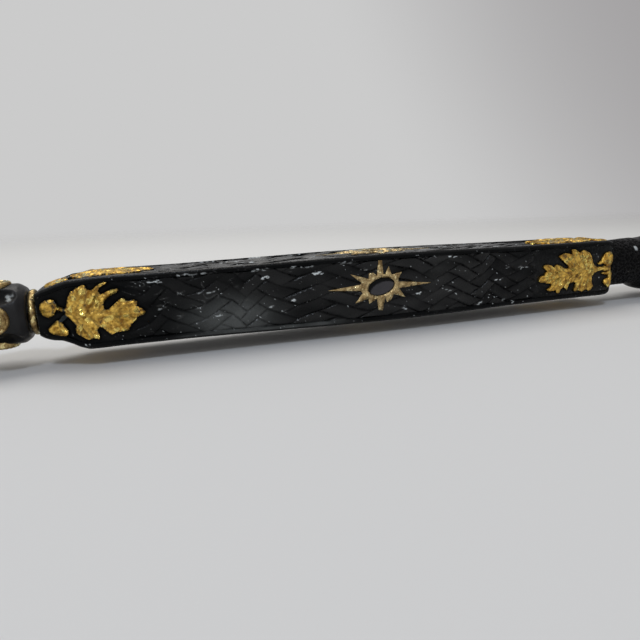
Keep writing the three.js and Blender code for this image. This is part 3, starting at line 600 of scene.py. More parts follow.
# Veins of the leaves: raised ribs, and folds sunk between the lobes
lower_ribs = [
    [(0.263, 0.05), (0.418, 0.02), (0.593, -0.08), (0.787, -0.1), (0.981, -0.1)],
    [(0.321, 0.05), (0.38, 0.4), (0.438, 0.85)],
    [(0.418, 0.03), (0.506, 0.4), (0.564, 0.7), (0.641, 0.96)],
    [(0.515, -0.02), (0.612, 0.45), (0.738, 0.72)],
    [(0.69, -0.1), (0.787, 0.2), (0.893, 0.28)], [(0.341, 0), (0.418, -0.4), (0.477, -0.75)],
    [(0.515, -0.1), (0.612, -0.4), (0.709, -0.62)],
    [(0.67, -0.1), (0.758, -0.35), (0.806, -0.6)]]
lower_folds = [
    [(0.477, 0.78), (0.438, 0.2)], [(0.583, 0.72), (0.515, 0.25)], [(0.622, 0.1), (0.564, 0)],
    [(0.554, -0.45), (0.477, -0.12)], [(0.38, -0.7), (0.36, -0.2)],
    [(0.884, -0.3), (0.787, -0.16)]]
upper_ribs = [
    [(0.108, 0), (0.273, 0), (0.467, -0.06), (0.709, -0.17), (0.971, -0.28)],
    [(0.302, 0), (0.36, 0.4), (0.418, 0.8)], [(0.379, -0.02), (0.496, 0.4), (0.554, 0.86)],
    [(0.496, -0.07), (0.612, 0.35), (0.709, 0.72)],
    [(0.651, -0.14), (0.748, 0.1), (0.777, 0.3)], [(0.767, -0.18), (0.855, 0.1), (0.922, 0.3)],
    [(0.292, 0), (0.321, -0.45), (0.331, -0.9)],
    [(0.35, -0.02), (0.399, -0.5), (0.428, -0.92)],
    [(0.418, -0.05), (0.486, -0.5), (0.515, -0.85)],
    [(0.515, -0.08), (0.593, -0.3), (0.631, -0.75)],
    [(0.583, -0.12), (0.69, -0.4), (0.738, -0.86)],
    [(0.69, -0.16), (0.787, -0.45), (0.864, -0.74)]]
upper_folds = [
    [(0.467, 0.82), (0.447, 0.4), (0.418, 0.08)], [(0.612, 0.14), (0.554, 0)],
    [(0.37, -0.85), (0.36, -0.2)], [(0.796, 0.24), (0.748, 0)],
    [(0.467, -0.88), (0.437, -0.25)], [(0.554, -0.5), (0.486, -0.15)],
    [(0.68, -0.68), (0.593, -0.25)], [(0.835, -0.5), (0.748, -0.25)],
    [(0.593, 0.75), (0.534, 0.3)]]
sunburst_outline = [
    (-1, 0.01), (-0.4, 0.14), (-0.38, 0.2), (-0.59, 0.56), (-0.245, 0.33), (-0.24, 0.54),
    (-0.157, 0.55), (-0.09, 0.44), (-0.06, 1), (0.005, 1), (0.035, 0.47), (0.07, 0.48),
    (0.138, 0.75), (0.194, 0.43), (0.396, 0.5), (0.33, 0.25), (0.345, 0.14), (1, -0.01),
    (0.345, -0.12), (0.47, -0.49), (0.245, -0.34), (0.18, -0.55), (0.11, -0.62),
    (0.074, -0.44), (0.023, -0.92), (-0.055, -0.9), (-0.09, -0.46), (-0.166, -0.54),
    (-0.235, -0.62), (-0.25, -0.42), (-0.5, -0.56), (-0.36, -0.19), (-0.4, -0.1)]
SUNBURST_WIDTH, SUNBURST_RISE = 20.0, 0.7
STONE_LENGTH, STONE_WIDTH, STONE_TURN = 11.0, 6.4, math.radians(11)


def on_face(shares, start, inward, length):
    """Shares as millimetres along the section and across its face."""
    return np.array([(start + inward * a * length, c * SPRIG_HALF) for a, c in shares])


def trimmed(outline, cut=0.13):
    """A closed outline with its corners cut once, as a gouge leaves them."""
    after = np.roll(outline, -1, 0)
    pairs = np.stack([outline * (1 - cut) + after * cut, outline * cut + after * (1 - cut)], 1)
    return pairs.reshape(-1, 2)


def spaced(outline, step):
    """A closed outline with points no further apart than step."""
    return refine(np.vstack([outline, outline[:1]]), step)[:-1]


def segments_of(lines, closed):
    """The straight pieces of some lines, each as its two ends."""
    pairs = []
    for line in lines:
        line = np.asarray(line)
        after = np.roll(line, -1, 0) if closed else line[1:]
        pairs.append(np.stack([line if closed else line[:-1], after], 1))
    return np.concatenate(pairs)


def distance_to(points, segments):
    """Distance of each point to the nearest of the segments."""
    nearest = np.full(len(points), 1e9)
    for a, b in segments:
        along = b - a
        share = np.clip(((points - a) @ along) / max(along @ along, 1e-12), 0, 1)
        gap = points - a - share[:, None] * along
        np.minimum(nearest, np.einsum("ij,ij->i", gap, gap), out=nearest)
    return np.sqrt(nearest)


def inside(points, outline):
    """Whether each point is inside a closed outline."""
    x, y = points[:, 0], points[:, 1]
    hit = np.zeros(len(points), bool)
    for (ax, ay), (bx, by) in zip(outline, np.roll(outline, -1, 0)):
        crosses = (ay > y) != (by > y)
        reach = ax + (y - ay) * (bx - ax) / (by - ay if by != ay else 1e-12)
        hit ^= crosses & (x < reach)
    return hit


def within(points, outlines, hole=None):
    """Whether each point is inside any of the outlines, and outside the hole."""
    hit = np.zeros(len(points), bool)
    for outline in outlines:
        hit |= inside(points, outline)
    return hit if hole is None else hit & ~inside(points, hole)


# Small gilt buds on the stems, whose rest is black: shares of length and half-width, and radii
# in millimetres. ink lines are the thin black cuts across the gilding.
lower_buds = [(0.203, 0.13, 1.0, 1.1), (0.285, -0.36, 1.6, 0.8)]
lower_ink = [
    [(0.11, 0.42), (0.155, 0.36), (0.164, 0.2), (0.145, 0.05)],
    [(0.195, -0.2), (0.2, -0.42)], [(0.25, -0.18), (0.24, -0.45), (0.3, -0.55)]]
upper_ink = [[(0.062, 0.1), (0.11, 0.08)], [(0.06, -0.11), (0.1, -0.1)]]

sprig_shares = {
    "lower": dict(
        leaf=lower_leaf, acorns=lower_acorns, stems=lower_stems, ribs=lower_ribs,
        folds=lower_folds, buds=lower_buds, ink=lower_ink),
    "upper": dict(
        leaf=upper_leaf, acorns=upper_acorns, stems=upper_stems, ribs=upper_ribs,
        folds=upper_folds, buds=[], ink=upper_ink)}

# The faces, by the turn of local +Z to each, in the order that the section's skin goes round
faces_round = {"top": 0.0, "back": -math.pi / 2, "bottom": math.pi, "front": math.pi / 2}

# Where a face's ornaments sit: start, direction and length of each sprig, and middle and length
# of the sunburst. The top's were set out apart from the others'.
even_layout = dict(
    lower=(0.0, 1, 32.7), upper=(SECTION_LENGTH, -1, 43.1), sunburst=(SECTION_LENGTH / 2, 43.4))
top_layout = dict(
    lower=(0.5, 1, 36.5), upper=(SECTION_LENGTH, -1, 40.4),
    sunburst=(SECTION_LENGTH / 2 + 3.5, 50.0))
layouts = {face: top_layout if face == "top" else even_layout for face in faces_round}


def sprig_at(end, place):
    """One sprig in millimetres at its place: outlines, veins, black cuts and gilt buds."""
    shares = sprig_shares[end]
    outlines = [trimmed(on_face(shares["leaf"], *place))]
    outlines += [trimmed(trimmed(on_face(a, *place))) for a in shares["acorns"]]
    outlines += [on_face(stem, *place) for stem in shares["stems"]]
    sprig = {"outlines": outlines}
    for key in ("ribs", "folds", "ink"):
        sprig[key] = segments_of([on_face(line, *place) for line in shares[key]], False)
    sprig["buds"] = [(*on_face([bud[:2]], *place)[0], *bud[2:]) for bud in shares["buds"]]
    return sprig


sprigs = {
    (end, face): sprig_at(end, layouts[face][end])
    for end in sprig_shares for face in faces_round}

# The carver left the taper leaning: millimetres along the section, and how far up it stands
taper_lean = [
    (0, 0), (4, 0.1), (6.5, 0.48), (8.6, 0.42), (10, 0.35), (11.5, 0), (13, -0.18),
    (14.6, -0.33), (16, -0.2), (20, -0.1), (24, 0)]


def to_face(points, angle):
    """Points of the face that looks up, turned to another one."""
    x, y, z = points[:, 0], points[:, 1], points[:, 2]
    c, s = math.cos(angle), math.sin(angle)
    return np.stack([x, y * c - z * s, y * s + z * c], -1)


def to_section(points, angle):
    """Points of one face turned to it, with the taper's lean."""
    lean = np.interp(points[:, 0], *zip(*taper_lean))
    return to_face(points, angle) + np.outer(lean, (0, 0, 1))


def face_noise(face, along, across, layer, size):
    """Noise over one face. The faces' names differ in length, so each has layers of its own."""
    return ripple_noise(along, across, layer + len(face), size)


# Woven carving: a twill of strips that cross at 26 degrees to the stick, two over and two under.
# turns are the places along the face where the strips' zigzag turns, low and high in turn;
# drift is how far the rows wander across it, in rows.
ROW = 5.13
STRIP = 4.4
GROOVE_WIDTH = 0.27
GROOVE_SHARE = 1.8
WEAVE_START, WEAVE_END = 28.0, 193.0
front_turns = [
    12, 22, 33, 39.8, 51.6, 61.5, 66.3, 74, 85.5, 100, 113, 130, 141.3, 152.5, 164, 171,
    182.5, 192, 202]
front_drift = [
    (33, 0), (39.8, -0.2), (51.6, 0.1), (61.5, -0.1), (74, -0.25), (85.5, -0.3), (100, -0.2),
    (130, -0.35), (141.3, -0.25), (152.5, -0.37), (164, -0.32), (171, -0.6), (182.5, -0.4),
    (192, -0.3)]


def weave_plan(face):
    """Turns and drift of one face's weave: the photographed face's, or others as uneven."""
    if face == "front":
        return np.array(front_turns), np.array(front_drift)
    chance = random.Random(face)
    turns = [10 + chance.uniform(-2, 2)]
    while turns[-1] < 205:
        turns.append(turns[-1] + chance.uniform(7.5, 13.5))
    drift = [(turn, chance.uniform(-0.35, 0.35)) for turn in turns]
    return np.array(turns), np.array(drift)


def weave(along, across, face):
    """Height of the strips above the groove floor, 0 to 1, how deep in a groove, and sheen."""
    turns, drift = weave_plan(face)
    # The rows wander, most of all low down
    wander = 0.14 * face_noise(face, along, across, 7.0, 14.0)
    wander += 0.2 * ramp(along, 64, 34) * face_noise(face, along, across, 17.0, 8.0)
    sigma = np.interp(along, turns, np.arange(len(turns)) - 2.0) + wander
    tau = across / ROW + np.interp(along, drift[:, 0], drift[:, 1])
    tau = tau + 0.1 * ripple_noise(along, across, 31.0, 11.0)
    # Which strip is on top in each cell of the twill, and where in the strip a point is
    alpha, beta = sigma + tau, tau - sigma
    i, j = np.floor(alpha), np.floor(beta)
    phase = np.mod(i - j, 4)
    rising = phase < 2
    over = np.where(rising, beta - j, alpha - i)
    run = np.where(rising, (alpha - i + phase) / 2, (beta - j + (phase == 2)) / 2)
    uneven = np.sin(np.where(rising, (i - phase) * 3.1 + j * 5.7, i * 4.3 + (j + phase) * 2.9))
    gap = np.minimum(np.minimum(over, 1 - over), 2 * np.minimum(run, 1 - run)) * STRIP
    # Gouge cuts run out of line, and the lacquer has filled some of them, most of all low down
    ragged = face_noise(face, along, across, 47.0, 1.5)
    filled = face_noise(face, along, across, 57.0, 9.0)
    width = GROOVE_WIDTH * (1 + 0.4 * filled)
    full = 0.6 + 0.15 * ramp(along, 80, 130)
    depth = np.clip(full * (1.0 + 0.9 * filled), 0.15, 0.85)
    groove = depth * bell(np.maximum(gap + 0.14 * ragged, 0), width)
    # Each strip is crowned, dips at both ends, and lies a little high or low and tilted
    crown = 0.2 * (1 - (2 * over - 1) ** 2)
    dip = 0.24 * (2 * run - 1) ** 4
    tilt = 0.16 * uneven * (2 * over - 1)
    height = 0.66 + crown - dip + 0.1 * uneven + tilt + 0.06 * ragged
    streak = face_noise(face, along * 0.35, across, 87.0, 3.0)
    sheen = 0.8 * uneven + 1.6 * streak + 1.2 * (over - 0.5) * np.where(rising, 1, -1)
    return np.clip(height, 0, 1) * (1 - groove), groove, sheen


# Where the lacquer of the photographed face ran together in glassy drops, with pale flecks
# painted in them as glints: millimetres along and across the face, length of the streak, and
# how bright it is
front_drops = [
    (36.3, 8.5, 4.1, 1), (44.8, 10.2, 3.2, 0.6), (53.7, 10.2, 4, 0.6), (70.9, 10.2, 7.1, 0.7),
    (73.9, 7.5, 2.9, 1), (87.2, 10.1, 8.3, 0.6), (92.2, 7.5, 4.6, 1), (50.9, 4, 1, 0.6),
    (54.2, 3.8, 2, 0.6), (37.9, -0.1, 1.9, 0.6), (42.9, -4, 2, 0.8), (56, -4.7, 4.1, 0.6),
    (75.3, -3.4, 2.2, 0.6), (79.4, -5.3, 2.2, 0.6), (83.7, -1.9, 1.1, 0.8),
    (104.2, 10.7, 7.2, 0.6), (110.8, 7.5, 2, 0.6), (133.6, -3.1, 3.1, 1), (127.7, -8.8, 2.7, 0.6),
    (149.7, 10.3, 2.8, 0.8), (148, -3.4, 2.8, 0.8), (172.2, -0.8, 3.1, 0.8),
    (163.1, -10.1, 2.5, 0.7), (174.9, -10, 1.6, 0.8), (180.3, -10.8, 1.6, 0.6),
    (176.9, 4.1, 2, 0.6), (184.8, 3.6, 4.2, 0.5)]
DASH_SPACING = 0.8
DASH_REACH = 3


def drops_on(face):
    """Drops, with their painted glints, of one face: the photographed face's, or others as uneven.
    """
    if face == "front":
        return front_drops
    chance = random.Random(face + " drops")
    return [
        (chance.uniform(34, 190), chance.choice((10.2, chance.uniform(-9, 9))),
         chance.uniform(1.2, 8), chance.uniform(0.5, 1)) for _ in range(40)]


def finish_marks(face, along, across, near):
    """Shares of glassy drops, which carry painted glint flecks, and of a paler grey patch, over one
    face.
    """
    drops = np.zeros_like(along)
    chance = random.Random(face + " dashes")
    # Each streak is a run of short leaning dashes
    for middle, rise, length, share in drops_on(face):
        for _ in range(2 + int(length / DASH_SPACING)):
            x = middle + chance.uniform(-0.55, 0.55) * length
            y = rise + chance.gauss(0, 0.2 if rise > 9 else 0.32)
            long, high = chance.uniform(0.4, 1.1), chance.uniform(0.16, 0.3)
            lean = chance.uniform(-0.1, 0.35)
            near_it = (np.abs(along - x) < DASH_REACH) & (np.abs(across - y) < DASH_REACH)
            dx, dy = along[near_it] - x, across[near_it] - y
            reach = (dx / long) ** 2 + ((dy - lean * dx) / high) ** 2
            dash = share * chance.uniform(0.35, 1.1) * np.clip(1.6 - reach, 0, 1)
            drops[near_it] = np.maximum(drops[near_it], dash)
    # Painted glints: fine pale specks everywhere, and thin pale threads low down, where the lacquer
    # is glassier too
    speck = face_noise(face, along, across, 61.0, 0.8)
    drops = np.maximum(drops, 0.62 * ramp(speck, 0.6, 0.76))
    flow = face_noise(face, along * 0.55, across, 21.0, 2.6)
    here = face_noise(face, along, across, 25.0, 4.0)
    thread = bell(flow, 0.05) * ramp(here, 0.1, 0.3)
    drops = np.maximum(drops, 0.42 * thread * ramp(along, 85, 50))
    # A paler grey patch lies on each face, and on the front one along its lower edge as well
    cloudy = ripple_noise(along, across, 77.0, 6.0)
    middle, rise = (61, -6) if face == "front" else (75 + 20 * len(face), 3)
    reach = ((along - middle) / 15) ** 2 + ((across - rise) / 7) ** 2
    grey_patch = np.exp(-(reach ** 1.5)) * (0.85 + 0.35 * cloudy)
    if face == "front":
        low_edge = ramp(across, -10, -10.8) * ramp(along, 36, 48) * ramp(along, 112, 92)
        grey_patch = np.maximum(grey_patch, 0.8 * low_edge * (0.8 + 0.6 * cloudy))
    clear = ramp(near, 0.8, 1.6)
    return drops * clear, np.clip(grey_patch * clear, 0, 1)


def stone_share(along, across, middle):
    """Distance from the middle of a face's oval stone, where 1 is its edge."""
    x, y = along - middle, across - SUNBURST_RISE
    c, s = math.cos(STONE_TURN), math.sin(STONE_TURN)
    return np.hypot((x * c + y * s) / (STONE_LENGTH / 2), (y * c - x * s) / (STONE_WIDTH / 2))


def sprig_gap(face, along, across):
    """Distance of each point of a face to its nearest sprig, worked out only beside them."""
    points = np.stack([along.ravel(), across.ravel()], -1)
    near = np.full(len(points), 1e9)
    for end in sprig_shares:
        outlines = sprigs[end, face]["outlines"]
        reach = np.concatenate(outlines)[:, 0]
        chosen = (points[:, 0] > reach.min() - 4) & (points[:, 0] < reach.max() + 4)
        gap = distance_to(points[chosen], segments_of(outlines, True))
        gap[within(points[chosen], outlines)] = 0
        near[chosen] = np.minimum(near[chosen], gap)
    return near.reshape(along.shape)


def section_face(face, along, across):
    """Relief of one face below its margin in millimetres, with the marks of its finish, its painted
    shade and its painted glints.
    """
    half = half_at(along)
    depth = half - floor_at(along)
    to_margin = half - CORNER_RADIUS - MARGIN - np.abs(across)
    in_panel = to_margin > 0
    height, groove, sheen = weave(along, across, face)
    near = sprig_gap(face, along, across)
    # The weave stops short of the sprigs, raggedly at both its ends
    ragged = 3 * face_noise(face, along * 0.3, across, 90.0, 5.0)
    woven = ramp(near, 1.4, 2.4)
    woven = woven * ramp(along + ragged, WEAVE_START, WEAVE_START + 2.5)
    woven = woven * ramp(along - ragged, WEAVE_END, WEAVE_END - 3.0)
    # The cut along the margin comes and goes
    cut = np.clip(0.5 + 1.2 * face_noise(face, along, np.sign(across) * 5, 71.0, 9.0), 0.1, 1)
    border = 1 - cut * (1 - ramp(to_margin, 0, 0.7))
    tooling = 0.07 * face_noise(face, along, across * 1.6, 3.0, 1.7)
    tooling += 0.05 * face_noise(face, along, across, 13.0, 4.5)
    ground = depth + tooling + 0.14 * bell(near, 0.7)
    deepest = depth * GROOVE_SHARE
    carved = deepest - (deepest - 0.02) * height * border + 0.6 * tooling
    relief = ground + (carved - ground) * woven
    beside_stone = stone_share(along, across, layouts[face]["sunburst"][0])
    relief = np.where(beside_stone < 1.12, depth + 0.15, relief)
    share = np.minimum(depth / PANEL_DEPTH, 1)
    rim_line = 0.08 * cut * bell(to_margin, 0.35) * share
    relief = np.where(in_panel, relief + rim_line, 0)
    # Painted shade: the carving's grooves, a line along the margin's cut and a ring round each
    # sprig are darkened
    groove = np.maximum(groove * woven, rim_line * 2.5)
    groove = np.where(in_panel, np.maximum(groove, 0.75 * bell(near, 0.8)), 0)
    drops, grey_patch = finish_marks(face, along, across, near)
    # The lacquer was brushed unevenly: some strips shine, others are dull, as both ends are
    ends = np.interp(along, *zip(
        (20, -0.7), (45, -0.4), (70, 0), (110, 0.05), (145, 0.35), (165, 0), (190, -0.5)))
    broad = face in ("front", "back")
    sheen = np.clip(sheen * 0.28 if broad else sheen * 1.5 - 0.1, -1, 2.4)
    sheen = np.clip((1 + sheen) * (1 + ends) - 1, -1, 2.4)
    if broad:
        sheen = np.where(in_panel, sheen, np.minimum(sheen, -0.75 + 1.1 * grey_patch))
    groove = groove * (1 - 0.55 * grey_patch)
    return np.maximum(relief, 0), np.clip(groove, 0, 1), drops, grey_patch, sheen


# The section's mesh: cells across a panel and round a corner, rows along it, and the lines
# inside its margin, in millimetres
PANEL_CELLS = 70
CORNER_STEPS = 4
ALONG_STEP = 0.34
MARGIN_LINES = (0.28, 0.56)
INSERT_RADIUS, INSERT_DEPTH = 5.5, 17.0


def build_section():
    rows = int(SECTION_LENGTH / ALONG_STEP) + 1
    along = np.linspace(0, SECTION_LENGTH, rows)[:, None]
    half = half_at(along)
    edge = half - CORNER_RADIUS
    panel = edge - MARGIN
    lip = panel + np.array([MARGIN_LINES])
    inner = np.linspace(-1, 1, PANEL_CELLS + 1)[None, :] * panel
    across = np.hstack([-edge, -lip[:, ::-1], inner, lip, edge])
    round_corner = np.arange(1, CORNER_STEPS)[None, :] / CORNER_STEPS * math.pi / 2
    grid_along = np.repeat(along, across.shape[1], 1)
    sides, marks = [], []
    for face, angle in faces_round.items():
        relief, *finish = section_face(face, grid_along, across)
        height = half - relief + 0.03 * ripple_noise(grid_along, across, angle, 6.0)
        y = np.hstack([across, edge + CORNER_RADIUS * np.sin(round_corner)])
        z = np.hstack([height, edge + CORNER_RADIUS * np.cos(round_corner)])
        x = np.repeat(along, y.shape[1], 1)
        points = to_section(np.stack([x, y, z], -1).reshape(-1, 3), angle)
        sides.append(points.reshape(rows, -1, 3))
        marks.append([np.pad(mark, ((0, 0), (0, CORNER_STEPS - 1))) for mark in finish])
    skin = np.concatenate(sides, 1)
    # The lower end is bored for the joint's insert, and the upper one is closed
    spin = np.arctan2(skin[0, :, 2], skin[0, :, 1])
    bore = [
        np.stack([np.full_like(spin, x), INSERT_RADIUS * np.cos(spin),
                  INSERT_RADIUS * np.sin(spin)], -1) for x in (INSERT_DEPTH, 0)]
    points, faces = ring_body(
        np.concatenate([bore, skin]), [(INSERT_DEPTH, 0, 0), (SECTION_LENGTH, 0, 0)])
    in_bore = np.zeros(2 * len(spin))
    marks = {
        key: np.concatenate([in_bore, np.concatenate(parts, 1).ravel(), (0, 0)])
        for key, parts in zip(("groove", "drops", "grey_patch", "sheen"), zip(*marks))}
    points = points + (SECTION_START, 0, 0)
    add_piece(
        "carved_section", "woven", points, faces, section_lacquer, sharp=50, marks=marks)


build_section()


# Relief plates: sprigs and sunbursts ----------------------------------------------------------
PLATE_SUNK = 0.3
SPRIG_STEP = 0.5
SUNBURST_STEP = 0.42
STONE_SIDES = 56
STONE_CLEARANCE = 0.3


def plate(outlines, hole, step):
    """Triangles over the union of the outlines, less the hole, with its border edges."""
    union = [spaced(outline, step) for outline in outlines]
    rings = union + ([hole] if hole is not None else [])
    coords, edges = [], []
    for ring in rings:
        first = len(coords)
        coords += [Vector(p) for p in ring]
        edges += [(first + i, first + (i + 1) % len(ring)) for i in range(len(ring))]
    low, high = np.vstack(union).min(0), np.vstack(union).max(0)
    fill = np.array([
        (x, y)
        for row, y in enumerate(np.arange(low[1], high[1], step * 0.87))
        for x in np.arange(low[0] + (row % 2) * step / 2, high[0], step)])
    fill = fill[within(fill, union, hole)]
    fill = fill[distance_to(fill, segments_of(rings, True)) > step * 0.45]
    coords += [Vector(p) for p in fill]
    flat, _, triangles, _, _, _ = delaunay_2d_cdt(coords, edges, [], 0, 1e-5)
    flat = np.array([tuple(v) for v in flat])
    triangles = np.array([t for t in triangles if len(t) == 3])
    triangles = triangles[within(flat[triangles].mean(1), union, hole)]
    used, index = np.unique(triangles, return_inverse=True)
    triangles = index.reshape(-1, 3).tolist()
    sides = dict.fromkeys((t[i], t[(i + 1) % 3]) for t in triangles for i in range(3))
    rim = [(a, b) for a, b in sides if (b, a) not in sides]
    return flat[used], triangles, rim


def raise_plate(flat, triangles, rim, height):
    """A closed body from a flat plate with its height above the sunk face."""
    ground = floor_at(flat[:, 0])
    size = len(flat)
    points = np.vstack([
        np.column_stack([flat, ground + height]), np.column_stack([flat, ground - PLATE_SUNK])])
    faces = [tuple(t) for t in triangles]
    faces += [(c + size, b + size, a + size) for a, b, c in triangles]
    faces += [(b, a, a + size, b + size) for a, b in rim]
    return points, faces


def sprig_height(sprig, flat, rim_gap, seed):
    """Heights of a sprig above its ground: lobed leaf with ribs and folds, domed acorns."""
    x, y = flat.T
    edge = 0.5 + 0.28 * (1 - np.exp(-rim_gap / 0.5))
    rib = distance_to(flat, sprig["ribs"])
    veins = 0.32 * bell(rib, 0.45) - 0.16 * bell(rib - 1.1, 0.5)
    veins -= 0.42 * bell(distance_to(flat, sprig["folds"]), 0.45)
    swell = 0.12 * (1 - np.exp(-rim_gap / 1.6))
    crinkle = 0.09 * ripple_noise(x, y, seed, 1.2) + 0.07 * ripple_noise(x, y, seed + 9, 3.1)
    leaf = edge + swell + (veins + crinkle) * ramp(rim_gap, 0, 1.2)
    acorn = edge + 0.42 * (1 - np.exp(-rim_gap / 1.1)) + 0.05 * crinkle
    return np.clip(np.where(inside(flat, sprig["outlines"][0]), leaf, acorn), 0.35, 1.22)


def inked(sprig, flat):
    """Share of black on a sprig: the cut lines, the stems outside their gilt buds, and painted
    shade in the folds and beside the ribs.
    """
    ink = bell(distance_to(flat, sprig["ink"]), 0.28)
    fold_shade = 0.55 * bell(distance_to(flat, sprig["folds"]), 0.4)
    rib_shade = 0.36 * bell(distance_to(flat, sprig["ribs"]) - 0.65, 0.3)
    ink = np.maximum(ink, np.maximum(fold_shade, rib_shade) * inside(flat, sprig["outlines"][0]))
    if sprig["buds"]:
        leaf_and_acorns = sprig["outlines"][:3]
        bud = np.min([
            ((flat[:, 0] - x) / long) ** 2 + ((flat[:, 1] - y) / wide) ** 2
            for x, y, long, wide in sprig["buds"]], 0)
        ink = np.maximum(ink, np.where(within(flat, leaf_and_acorns), 0, ramp(bud, 0.7, 1.2)))
    return np.clip(ink, 0, 1)


def build_sprigs():
    for end in sprig_shares:
        made = {}
        for number, (face, angle) in enumerate(faces_round.items()):
            sprig, place = sprigs[end, face], layouts[face][end]
            if place not in made:
                flat, triangles, rim = plate(sprig["outlines"], None, SPRIG_STEP)
                rim_gap = distance_to(flat, [(flat[a], flat[b]) for a, b in rim])
                marks = {"ink": np.tile(inked(sprig, flat), 2)}
                made[place] = flat, triangles, rim, rim_gap, marks
            flat, triangles, rim, rim_gap, marks = made[place]
            height = sprig_height(sprig, flat, rim_gap, 5.0 + 3 * number)
            points, faces = raise_plate(flat, triangles, rim, height)
            points = to_section(points, angle) + (SECTION_START, 0, 0)
            add_piece(
                f"{end}_sprig_{face}", "gilded", points, faces, leaf_gold, sharp=60, marks=marks)


build_sprigs()


def oval(length, width, centre):
    """An oval in the way that the stones are turned."""
    angles = np.linspace(0, 2 * math.pi, STONE_SIDES, endpoint=False)
    x, y = length / 2 * np.cos(angles), width / 2 * np.sin(angles)
    c, s = math.cos(STONE_TURN), math.sin(STONE_TURN)
    return np.stack([x * c - y * s, x * s + y * c], -1) + centre


def sunburst_plate(middle, length):
    """A sunburst's flat plate and its heights above the ground."""
    centre = np.array([middle, SUNBURST_RISE])
    outline = np.array(sunburst_outline) * (length / 2, SUNBURST_WIDTH / 2) + centre
    hole = oval(STONE_LENGTH + STONE_CLEARANCE, STONE_WIDTH + STONE_CLEARANCE, centre)
    flat, triangles, rim = plate([outline], hole, SUNBURST_STEP)
    outer = distance_to(flat, segments_of([outline], True))
    inner = distance_to(flat, segments_of([hole], True))
    # Rays are ridged and fall off outwards, and a collar stands round the stone
    away = np.linalg.norm((flat - centre) / (1.0, 0.72), axis=1)
    ridge = 0.42 + np.minimum(outer * 0.62, 0.62) * (1 - 0.45 * ramp(away, 6, 21))
    collar = 0.95 + 0.12 * bell(inner - 0.7, 0.45) - 0.55 * np.exp(-inner / 0.4)
    blend = ramp(inner, 0.8, 2.2)
    height = collar * (1 - blend) + ridge * blend
    return flat, triangles, rim, np.minimum(height, 0.5 + outer * 1.3)


def build_sunbursts():
    made = {}
    for number, (face, angle) in enumerate(faces_round.items()):
        place = layouts[face]["sunburst"]
        if place not in made:
            made[place] = sunburst_plate(*place)
        flat, triangles, rim, height = made[place]
        uneven = 0.04 * ripple_noise(flat[:, 0], flat[:, 1], 50.0 + number, 1.6)
        points, faces = raise_plate(flat, triangles, rim, np.clip(height + uneven, 0.35, 1.3))
        points = to_face(points, angle) + (SECTION_START, 0, 0)
        add_piece(f"sunburst_{face}", "gilded", points, faces, sun_gold, sharp=25)
        build_stone(face, angle, np.array([place[0], SUNBURST_RISE]))


# A stone's cushion shape: share of its length and width, and height above the sunk face
stone_levels = [
    (1.0, -0.2), (1.0, 0.1), (0.97, 0.18), (0.9, 0.24), (0.8, 0.26), (0.7, 0.28), (0.6, 0.28),
    (0.5, 0.29), (0.35, 0.3)]
# Its painted shadow, a black crescent, is what the same oval leaves bare when it is shifted this
# far
SHADOW_CRESCENT_SHIFT = (1.0, -1.5)


def build_stone(face, angle, centre):
    floor = floor_at(centre[0])
    rings = [
        np.column_stack([
            oval(STONE_LENGTH * share, STONE_WIDTH * share, centre),
            np.full(STONE_SIDES, floor + height)]) for share, height in stone_levels]
    points, faces = ring_body(
        rings, [(*centre, floor + height) for _, height in (stone_levels[0], stone_levels[-1])])
    x, y = (points[:, :2] - SHADOW_CRESCENT_SHIFT).T
    # Painted shadow: the crescent is darkened, and reflects less, where the collar's shadow falls
    marks = {"shadow_crescent": ramp(stone_share(x, y, centre[0]), 0.98, 1.06)}
    placed = to_face(points, angle) + (SECTION_START, 0, 0)
    add_piece(
        f"oval_stone_{face}", "polished", placed, faces, onyx, sharp=60, marks=marks)


build_sunbursts()


# Knop, rosettes and rings ---------------------------------------------------------------------
# The stud's bore is a little wider than the stud
STUD_RADIUS = 3.5
BORE_RADIUS = STUD_RADIUS + 0.3
KNOP_RADIUS = 9.8
KNOP_END_RADIUS = 8.1
KNOP_BEVEL = 2.4
KNOP_MIDDLE = sum(span("rosette_knop")) / 2
# A scoop's half-length, half-width and depth, and how bright its painted glint is in each quarter
SCOOP_LONG, SCOOP_WIDE, SCOOP_DEEP = 7.2, 3.8, 1.2
scoop_glints = (0.7, 1.0, 0.15, 0.5)


